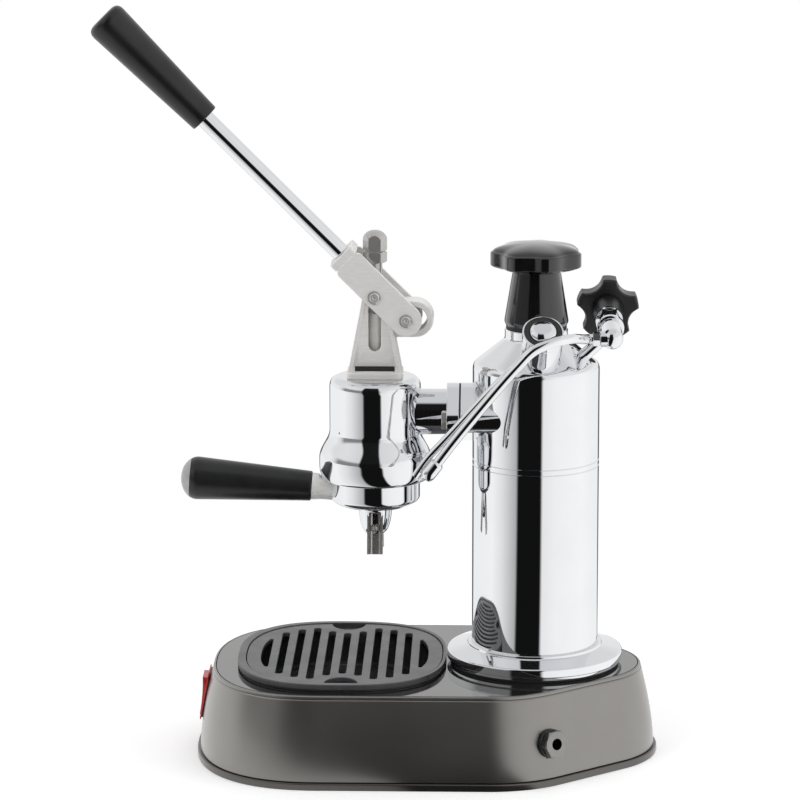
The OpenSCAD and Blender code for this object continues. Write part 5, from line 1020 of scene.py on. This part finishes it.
side_route = np.vstack([route[8:] + np.concatenate([-2.0 * k, 5.4 - 0.1 * k, 0.6 * k], 1),
                        route[-1] + [-14.2, 5.0, -10.2]])
dress(build("wand_side_pipe", [tube(through(side_route), 2.3, 32)]), "bright_plating", "chrome", "wand",
      "wand_side_tube")
dress(build("wand_swivel_nut", [moved(hexagon(8.0, 7.35, 11.85, 3.1, 0, 0.6), **AT_OUTLET)], 25), "bright_plating",
      "chrome", "machine", "wand_nut")

# %% [markdown]
# ## Group
# The group is a heavy plated casting: a cylinder that widens to a bell, with a neck and an oval flange towards the
# boiler. The bell's S curve is half a cosine wave. The flange's outline is the belt round three circles, and the
# saddle behind it ends on the boiler's round side, so its last row takes its depth from the boiler's circle.

# %% Group body, saddle, bolts
GROUP_X, PIPE_Z, BELL_Z, GROUP_R, BELL_R, BELL_EDGE_R = -33.0, 217.4, 175.4, 28.5, 35.0, 32.4
AT_GROUP = dict(at=(GROUP_X, 0, 0))
u = np.linspace(0, 1, 25)
narrow = np.stack([GROUP_R + (BELL_R - GROUP_R) * (1 - np.cos(np.pi * u)) / 2, 206.4 - 18 * u], -1)
a = sweep(0, 90, 13)
bell = np.stack([BELL_EDGE_R + (BELL_R - BELL_EDGE_R) * np.cos(a), BELL_Z + 9 * (1 - np.sin(a))], -1)
crown = soften([[6.55, 234, 0], [6.55, 240, 0], [GROUP_R, 240, 6.5], [GROUP_R, 207, 0]], 10)
hollow = [[28.8, BELL_Z], [28.8, 177.6], [31.4, 177.6], [31.4, 188.15], [21.6, 188.15], [21.6, 234]]
casting = np.vstack([crown, narrow, bell, hollow])
neck = turned(soften([[0, 20, 0], [14.3, 20, 0], [14.3, 46, 0], [14.3, 48, 0], [0, 48, 0]]), 96,
              at=(GROUP_X, 0, PIPE_Z), along=(1, 0, 0), toward=(0, 0, -1))
PAD_R, PAD_EAR_R, BOLT_X, BOLT_Y, PAD_T = 18.1, 8, 11.65, 25, 7.6
flange_t = full_turn(720)
ring = np.stack([np.cos(flange_t), np.sin(flange_t)], -1)
circles = [PAD_R * ring, PAD_EAR_R * ring + [0, BOLT_Y], PAD_EAR_R * ring - [0, BOLT_Y]]
flange_line, flange_normal = even(belt(circles, flange_t), flange_t, 180)
pad = rings(flange_line, flange_normal, soften([[-0.2, 0, 0], [0, 0, 0.6], [0, PAD_T, 1.0], [-0.6, PAD_T, 0]]))
pad = closed(pad, (0, 0, 0), (0, 0, PAD_T))
FACE = dict(along=(-1, 0, 0), toward=(0, 0, 1))
casting_piece = build("group_casting", [turned(casting, 160, True, **AT_GROUP), neck,
                                        moved(pad, at=(19.3, 0, PIPE_Z), **FACE)])
dress(casting_piece, "bright_plating", "chrome", "machine", "group_body")
FACE_X, SEAT_DEEP = 20.4, 0.3
rows = rings(flange_line, flange_normal, soften([[-0.6, 0, 0], [0, 0, 0.6], [0, 8, 0], [0, 30, 0]]))
back = BOILER_X - np.sqrt((BOILER_R - SEAT_DEEP) ** 2 - flange_line[:, 1] ** 2) - FACE_X
rows[-1, :, 2] = back
rows[-2, :, 2] = back - 1.0
saddle = moved(closed(rows, (0, 0, 0), (0, 0, 9)), at=(FACE_X, 0, PIPE_Z), along=(1, 0, 0), toward=(0, 0, -1))
dress(build("boiler_saddle", [saddle]), "bright_plating", "chrome", "machine", "group_saddle")
bolt_spots = [dict(at=(BOLT_X, y, PIPE_Z), **FACE) for y in (-BOLT_Y, BOLT_Y)]
bolts = [moved(hexagon(10.5, 0, 3.0, 0, 0, 0.8, (False, True)), **spot) for spot in bolt_spots]
bolts += [turned(soften([[0, -18, 0], [4, -18, 0], [4, 0, 0], [0, 0.1, 0]]), 32, **spot) for spot in bolt_spots]
dress(build("flange_bolts", bolts, 25), "polished_nickel", "satin_nickel", "machine", "group_bolts")
washer = closed(rings(flange_line, flange_normal, [[-0.3, 0], [-0.3, 1.0]]), (0, 0, 0), (0, 0, 1))
dress(build("flange_seal", [moved(washer, at=(20.35, 0, PIPE_Z), **FACE)]), "seal_rubber", "rubber", "machine",
      "group_gasket")

# %% [markdown]
# ## Tower and lever
# The tower carries the lever: a tapered plate with a slot for the piston's pin, rails along its edges, a recess at
# its foot with black blocks in it as painted shade, and an ear with a level slot for the roller. Flat plates with
# round edges are the quickest way to these shapes. The lever is a fork of two plates, a rod and a black grip.

# %% Tower
TOWER_Z, TOWER_TOP, TOWER_FOOT, TOWER_TIP, SLOT_HALF = 240.05, 49.5, 17.3, 7.7, 3.95
UPRIGHT = dict(along=(0, -1, 0), toward=(1, 0, 0))
arc = sweep(0, 180, 25)
bottom = np.stack([SLOT_HALF * np.cos(arc), 257.2 + SLOT_HALF - TOWER_Z - SLOT_HALF * np.sin(arc)], -1)
tower_line = np.vstack([[[-TOWER_FOOT, 0], [TOWER_FOOT, 0], [TOWER_TIP, TOWER_TOP], [SLOT_HALF, TOWER_TOP]], bottom,
                        [[-SLOT_HALF, TOWER_TOP], [-TOWER_TIP, TOWER_TOP]]])
tower = build("tower_plate", [moved(plate([tower_line], 19.0, 0.3), at=(GROUP_X, 0, TOWER_Z), **UPRIGHT)], 12)

bore = turned([[0, 5], [6.55, 5], [6.55, 9.05], [5.9, 9.06], [5.9, 43.05], [7.9, 43.05], [7.9, 60], [0, 60]], 64,
              at=(GROUP_X, 0, TOWER_Z))
side_cut = block_shell([GROUP_X - 20, -5.5, 283.1], [GROUP_X, 5.5, 300])


def recess_blocks(half, low, high, near, far):
    """A block across each face of the tower, between two heights and two distances from its middle."""
    return [block_shell([GROUP_X - half, min(y), TOWER_Z + low], [GROUP_X + half, max(y), TOWER_Z + high])
            for y in ((-far, -near), (far, near))]


carve(tower, bore, side_cut, *recess_blocks(12.4, 4.4, 7.9, 7.5, 12))
dress(tower, "satin_nickel", "satin_nickel", "machine", "lever_tower")
# Black blocks sit inside the carved recess as painted shade: their black stands for the shade within it.
dress(build("tower_recess_painted_shade", recess_blocks(12.3, 4.5, 7.8, 7.6, 8.4)), "seal_rubber", "rubber", "machine",
      "lever_tower")


# %% Tower rails, foot and ear
def upright_bar(ends, width, depth, y):
    """Flat bar between two points (x, z) of the tower's face, with round edges, centred at depth y."""
    a, b = np.asarray(ends, float)
    way, long = unit(b - a), np.linalg.norm(b - a)
    across = np.array([-way[1], way[0]])
    spots = np.array([[0, -1], [1, -1], [1, 1], [0, 1]])
    line = a + spots[:, :1] * long * way + spots[:, 1:] * width / 2 * across
    return moved(plate([line], depth, 0.35), at=(GROUP_X, y, TOWER_Z), **UPRIGHT)


rails = [upright_bar([[s * 16.1, 0], [s * 6.7, 48.9]], 2.4, 1.0, y) for y in (-9.75, 9.75) for s in (-1, 1)]
foot_rows = soften([[0, 0, 0, 0], [17.3, 13, 0, 0.3], [17.3, 13, 4, 0.9], [0, 0, 4, 0]])
foot = moved(skin(frame_rows(foot_rows, 12)), at=(GROUP_X, 0, TOWER_Z))
EAR_Z, EAR_X, EAR_R, SLOT_R, FILLET = 277.39, 25.0, 11.35, 7.35, 4.0
arc = sweep(-90, 90, 49)
turn_in = sweep(180, 90, 13)
web = np.stack([11.2 + FILLET + FILLET * np.cos(turn_in), FILLET * (np.sin(turn_in) - 1) - EAR_R], -1)
ear_edge = np.vstack([np.stack([EAR_X + EAR_R * np.cos(arc), EAR_R * np.sin(arc)], -1), [[6.8, EAR_R], [6.8, -18]],
                      [[11.2, -18]], web])
ear_slot = np.vstack([np.stack([EAR_X + SLOT_R * np.cos(arc), SLOT_R * np.sin(arc)], -1),
                      [[12, SLOT_R], [9.4, SLOT_R], [9.4, -SLOT_R], [12, -SLOT_R]]])
ear = moved(plate([ear_edge, ear_slot], 16, 0.8), at=(GROUP_X, 0, EAR_Z), **UPRIGHT)
dress(build("tower_rails", rails, 12), "satin_nickel", "satin_nickel", "machine", "lever_tower")
dress(build("tower_foot", [foot]), "satin_nickel", "satin_nickel", "machine", "lever_tower")
dress(carve(build("tower_ear", [ear], 12), bore), "satin_nickel", "satin_nickel", "machine", "lever_tower")

# %% Rod end, nuts, pins and roller
block = soften([[0, 280, 0], [5.5, 280, 0.6], [5.5, 299.9, 0.8], [4.5, 305.9, 0.5], [4.5, 311.75, 0], [4, 311.75, 0],
                [4, 322.9, 0], [0, 322.9, 0]])
dress(build("rod_end", [turned(block, 72, **AT_GROUP)]), "polished_nickel", "satin_nickel", "piston", "rod_head")
lock = moved(hexagon(13, 311.8, 318.9, 4.05, math.pi / 6, 1.0), **AT_GROUP)
# The acorn nut's radius is the smallest of a hexagon's, a cone's at its foot and a dome's at its top
ACORN_Z, ACORN_H, ACORN_HALF, HEX_H, DOME_H = 318.95, 13.1, 6.5, 7.1, 6
t = full_turn(NUT_POINTS)
flat = np.mod(t, np.pi / 3) - np.pi / 6
rise = np.linspace(0, 1, 30) * ACORN_H
corner_r = ACORN_HALF / math.cos(math.pi / 6)
cut_cone = 6.3 + np.clip(rise, 0, 2) * 1.73
dome_r = corner_r * np.sqrt(np.clip(1 - np.clip((rise - HEX_H) / DOME_H, 0, 1) ** 2, 0, 1))
r = np.minimum(np.minimum(ACORN_HALF / np.cos(flat)[None], cut_cone[:, None]), dome_r[:, None])
acorn = np.concatenate([turn([[0, ACORN_Z]], NUT_POINTS), polar(r, t, ACORN_Z + rise)])
dress(build("rod_lock_nuts", [lock, moved(skin(acorn), **AT_GROUP)], 30), "polished_nickel", "satin_nickel",
      "piston", "rod_nuts")
FRONT_PIN, REAR_PIN = (GROUP_X, 0, 291.9), (-13.484, 0, 277.192)


def clipped_pin(at):
    """Cross pin with a dimple in each end, and an open spring clip beside each fork plate."""
    row = [[0, -14.7, 0], [1.0, -14.9, 0.1], [1.3, -15.4, 0.1], [2.6, -15.4, 0.3], [3, -14.9, 0.2], [3, -14.45, 0],
           [2.5, -14.4, 0], [2.5, -13.6, 0], [3, -13.55, 0]]
    shaft = soften(row + [[r, -z, s] for r, z, s in row[::-1]])
    open_turn = sweep(-150, 150, 61)[:, None]
    way = np.concatenate([np.cos(open_turn), np.sin(open_turn)], 1)
    clip = plate([np.vstack([4.3 * way, 2.55 * way[::-1]])], 0.78, 0.15)
    return [turned(shaft, 48, at=at, along=(0, 1, 0))] + [
        moved(clip, at=np.array(at) + [0, s * 14.01, 0], along=(0, s, 0), toward=(-1, 0, 1)) for s in (-1, 1)]


dress(build("front_pin", clipped_pin(FRONT_PIN), 30), "turned_steel", "satin_nickel", "piston", "piston_pin")
dress(build("back_pin", clipped_pin(REAR_PIN), 30), "turned_steel", "satin_nickel", "lever", "rear_pin")
wheel = soften([[3.05, -8, 0], [6.4, -8, 0.6], [6.4, 8, 0.6], [3.05, 8, 0]])
dress(build("slot_roller", [turned(wheel, 72, True, at=REAR_PIN, along=(0, 1, 0))]), "turned_steel", "steel",
      "roller", "rear_roller")

# %% Fork, rod and grip
LEVER = unit([-1, 0, 1])
UNDER = unit([-1, 0, -1])
AT_LEVER = dict(at=REAR_PIN, along=LEVER, toward=(0, 1, 0))
FORK_HALF, FORK_LONG, CORNER, FORK_Y, PIN_HOLE = 9.75, 52.1, 3.5, 11.9, 3.05
a = sweep(90, 270, 49)
q = sweep(0, 90, 9)
round_end = FORK_HALF * np.stack([np.cos(a), np.sin(a)], -1)
far = np.stack([FORK_LONG - CORNER + CORNER * np.sin(q), -(FORK_HALF - CORNER) - CORNER * np.cos(q)], -1)
fork_line = np.vstack([round_end, far, (far * [1, -1])[::-1]])
front_hole = np.array(FRONT_PIN) - np.array(REAR_PIN)
front_x, front_z = front_hole @ LEVER, front_hole @ UNDER
fork = []
for y in (-FORK_Y, FORK_Y):
    flat = plate([fork_line, circle(0, 0, PIN_HOLE, 40), circle(front_x, front_z, PIN_HOLE, 40)], 3.0, 0.45)
    fork.append((np.array([REAR_PIN]) + flat[0][:, :1] * LEVER + flat[0][:, 1:2] * UNDER
                 + (flat[0][:, 2:] + y) * [[0, 1, 0]], flat[1]))
bridge_rows = soften([[0, 0, 52, 0], [13.1, 9.25, 52, 0.5], [13.1, 9.25, 57, 0.6], [0, 0, 57, 0]])
fork.append(moved(skin(frame_rows(bridge_rows, 12)), **AT_LEVER))
dress(build("fork_plates", fork, 12), "satin_nickel", "satin_nickel", "lever", "lever_fork")
rod = soften([[0, 52, 0], [4, 52, 0], [4, 57.05, 0], [5.7, 57.05, 0.5], [5.7, 175.05, 0], [4, 175.05, 0],
              [4, 199, 0], [0, 199, 0]])
dress(build("lever_shaft", [turned(rod, 72, **AT_LEVER)]), "bright_plating", "chrome", "lever", "lever_rod")
grip = soften([[0, 175.1, 0], [9.5, 175.1, 0.9], [13, 263.1, 6], [0, 263.1, 0]], 12)
dress(build("lever_handle", [turned(grip, 96, **AT_LEVER)], 40), "black_handle", "handle_black", "lever",
      "lever_grip")

# %% [markdown]
# ## Portafilter
# The portafilter locks into the bell: a plated ring with a rounded bottom, a ferrule, a black tapered handle with a
# grey end cap, and a double spout under it. The ring, ferrule and handle are turned. The spout is a cup with two
# leaning channels: a U section carried down a straight line, with a round stud in it.

# %% Portafilter
a = sweep(0, 90, 17)
bowl = np.stack([10.4 + 17.6 * np.cos(a), 163.9 - 6.8 * np.sin(a)], -1)
body_line = np.vstack([soften([[25.7, 182.1, 0], [28, 182.1, 0.5], [28, 164.5, 0]]), bowl,
                       [[6.5, 157.1], [6.5, 160.1], [21.7, 161.1], [25.7, 164.9]]])
HANDLE_Z, HANDLE_RISE = 166.8, math.radians(3.8)
HANDLE = dict(at=(GROUP_X, 0, HANDLE_Z), along=(-math.cos(HANDLE_RISE), 0, math.sin(HANDLE_RISE)), toward=(0, 1, 0))
tang = turned(soften([[0, 39, 0], [4, 39, 0], [4, 80, 0.5], [0, 80, 0]]), 48, **HANDLE)
SLEEVE_R, SLEEVE_SAG, BELL_OVER, BELL_SLOPE, BELL_ENDS = 7.9, 2.2, 8.2, 0.0664, 35.6
sleeve = turn(soften([[0, 26, 0], [SLEEVE_R, 26, 0], [SLEEVE_R, 31, 0], [SLEEVE_R, 34, 0], [8.2, 36.5, 0.5],
                      [8.5, 40, 0.6], [0, 40, 0]]), 120)
# The sleeve's end follows the round bowl, and its top stays flat where it passes under the bell
low_side = np.clip(sleeve[..., 1] / SLEEVE_R, 0, 1)
sleeve[:2, :, 2] -= SLEEVE_SAG * low_side[:2] ** 2
under_bell = BELL_OVER - BELL_SLOPE * sleeve[..., 2] + 6 * np.clip(sleeve[..., 2] - BELL_ENDS, 0, 1)
sleeve[..., 1] = np.maximum(sleeve[..., 1], -under_bell)
ferrule = [moved(skin(sleeve), **HANDLE), tang]
lug_r, lug_z = np.array([[27, 31, 31, 27], [177.9, 177.9, 181.9, 181.9]])
lugs = []
for s in (0, 180):
    t = sweep(65 + s, 115 + s, 25)[:, None]
    rows = np.stack([lug_r * np.cos(t), lug_r * np.sin(t), np.broadcast_to(lug_z, (len(t), 4))], -1)
    lugs.append(moved(closed(rows, rows[0].mean(0), rows[-1].mean(0)), **AT_GROUP))
dress(build("filter_holder", [turned(body_line, 160, True, **AT_GROUP), *lugs]), "bright_plating", "chrome",
      "portafilter", "portafilter_body")
dress(build("handle_ferrule", ferrule), "satin_nickel", "chrome", "portafilter", "portafilter_body")
END_AT, END_R, END_LONG, HANDLE_STOPS, CAP_STARTS = 111.5, 13.4, 10.5, 4.55, 4.6
u = np.linspace(0, HANDLE_STOPS, 12)
rounded = np.stack([END_R * np.sqrt(1 - (u / END_LONG) ** 2), END_AT + u], -1)
handle = np.vstack([soften([[0, 40.05, 0], [9.3, 40.05, 0.9], [END_R, END_AT - 0.5, 0]], 8), rounded,
                    [[0, END_AT + HANDLE_STOPS]]])
dress(build("holder_handle", [turned(handle, 96, **HANDLE)], 40), "black_handle", "handle_black", "portafilter",
      "portafilter_handle")
a = np.linspace(math.asin(CAP_STARTS / END_LONG), math.pi / 2, 25)
cap_line = np.stack([END_R * np.cos(a), END_AT + END_LONG * np.sin(a)], -1)
cap_line = np.vstack([[[0, END_AT + CAP_STARTS]], cap_line])
dress(build("handle_end", [turned(cap_line, 96, **HANDLE)], 40), "grey_end_cap", "cap_grey", "portafilter",
      "handle_cap")

# %% Double spout
SPOUT_Z, SPOUT_R, CUP_H = 157.05, 10.4, 19.0
a = sweep(0, 90, 21)
cup = np.vstack([[[0, 160.1], [6.45, 160.1], [6.45, SPOUT_Z]],
                 np.stack([SPOUT_R * np.clip(np.cos(a), 0, 1) ** 0.6, SPOUT_Z - CUP_H * np.sin(a)], -1)])
CHANNEL_HALF, CHANNEL_DEEP, CHANNEL_LONG, BEND, WALL, SET_OUT = 4.9, 6.5, 25.4, 2.2, 1.1, 2.6
LEAN_OUT = math.radians(14)
q = sweep(0, 90, 9)[:, None]


def channel_line(half, back):
    """One side of the U section, from its left lip round the back to its right lip."""
    bend = np.concatenate([half - BEND + BEND * np.cos(q), back - BEND + BEND * np.sin(q)], 1)
    right_side = np.vstack([[[half, -CHANNEL_DEEP]], bend])
    return np.vstack([right_side * [-1, 1], right_side[::-1]])


def leaning(shell, side):
    """A shell in the channel's own axes, leaned outwards under the cup's front (side 1) or back (side -1)."""
    x, y, z = shell[0].T
    spot = np.stack([x, y * math.cos(LEAN_OUT) + z * math.sin(LEAN_OUT) - SET_OUT,
                     -y * math.sin(LEAN_OUT) + z * math.cos(LEAN_OUT) + SPOUT_Z - CUP_H / 4], -1)
    return spot * [side, side, 1] + [GROUP_X, 0, 0], shell[1]


section = np.vstack([channel_line(CHANNEL_HALF, 0), channel_line(CHANNEL_HALF - WALL, -WALL)[::-1]])
count = len(section) // 2
ends = np.stack([np.pad(section, ((0, 0), (0, 1)), constant_values=z) for z in (0, -CHANNEL_LONG)])
first = np.arange(count - 1)[:, None]
lids = np.concatenate([first, first + 1, 2 * count - 2 - first, 2 * count - 1 - first], 1)
points, sides = skin(ends)
channel = points, np.vstack([sides, lids, lids + 2 * count])
a = sweep(0, 90, 9)
stud = turned(np.vstack([[[0, -0.4], [2.5, -0.4]], np.stack([2.5 * np.cos(a), 0.6 + 2.3 * np.sin(a)], -1)]), 40,
              at=(0, -WALL, -9.0), along=(0, -1, 0))
trough = block_shell([WALL - CHANNEL_HALF, -12, -CHANNEL_LONG - 1], [CHANNEL_HALF - WALL, -WALL, 0])
channels = [leaning(shell, side) for side in (1, -1) for shell in (channel, stud)]
troughs = [leaning(trough, side) for side in (1, -1)]
spout_cup = carve(build("spout_cup", [turned(cup, 96, **AT_GROUP)], 30), *troughs)
dress(spout_cup, "bright_plating", "chrome", "portafilter", "double_spout")
dress(build("spout_channels", channels, 30), "polished_nickel", "chrome", "portafilter", "double_spout")

# %% [markdown]
# ## Inner parts
# The parts inside keep their own meshes, because nobody sees more of them than an edge. Each gets the finish of its
# slot in the record, so that it looks right when the machine is opened or taken apart.

# %% Finish the carried-over nodes
SLOT_FINISH = {"chrome": "bright_plating", "satin_nickel": "satin_nickel", "steel": "turned_steel",
               "brass": "sand_brass", "copper": "copper_tube", "gunmetal": "skirt_paint", "trim": "black_moulding",
               "handle_black": "black_handle", "cap_grey": "grey_end_cap", "tray_grey": "tray_satin",
               "signal_red": "red_rocker", "rubber": "seal_rubber", "glass": "gauge_glass"}
node_slot = {row["node"]: row["material_slot"] for row in frame["record"]["subparts"]}
for name, node in frame["nodes"].items():
    node.data.materials.clear()
    node.data.materials.append(FINISH[SLOT_FINISH[node_slot[name]]])
print("finished nodes:", len(frame["nodes"]))
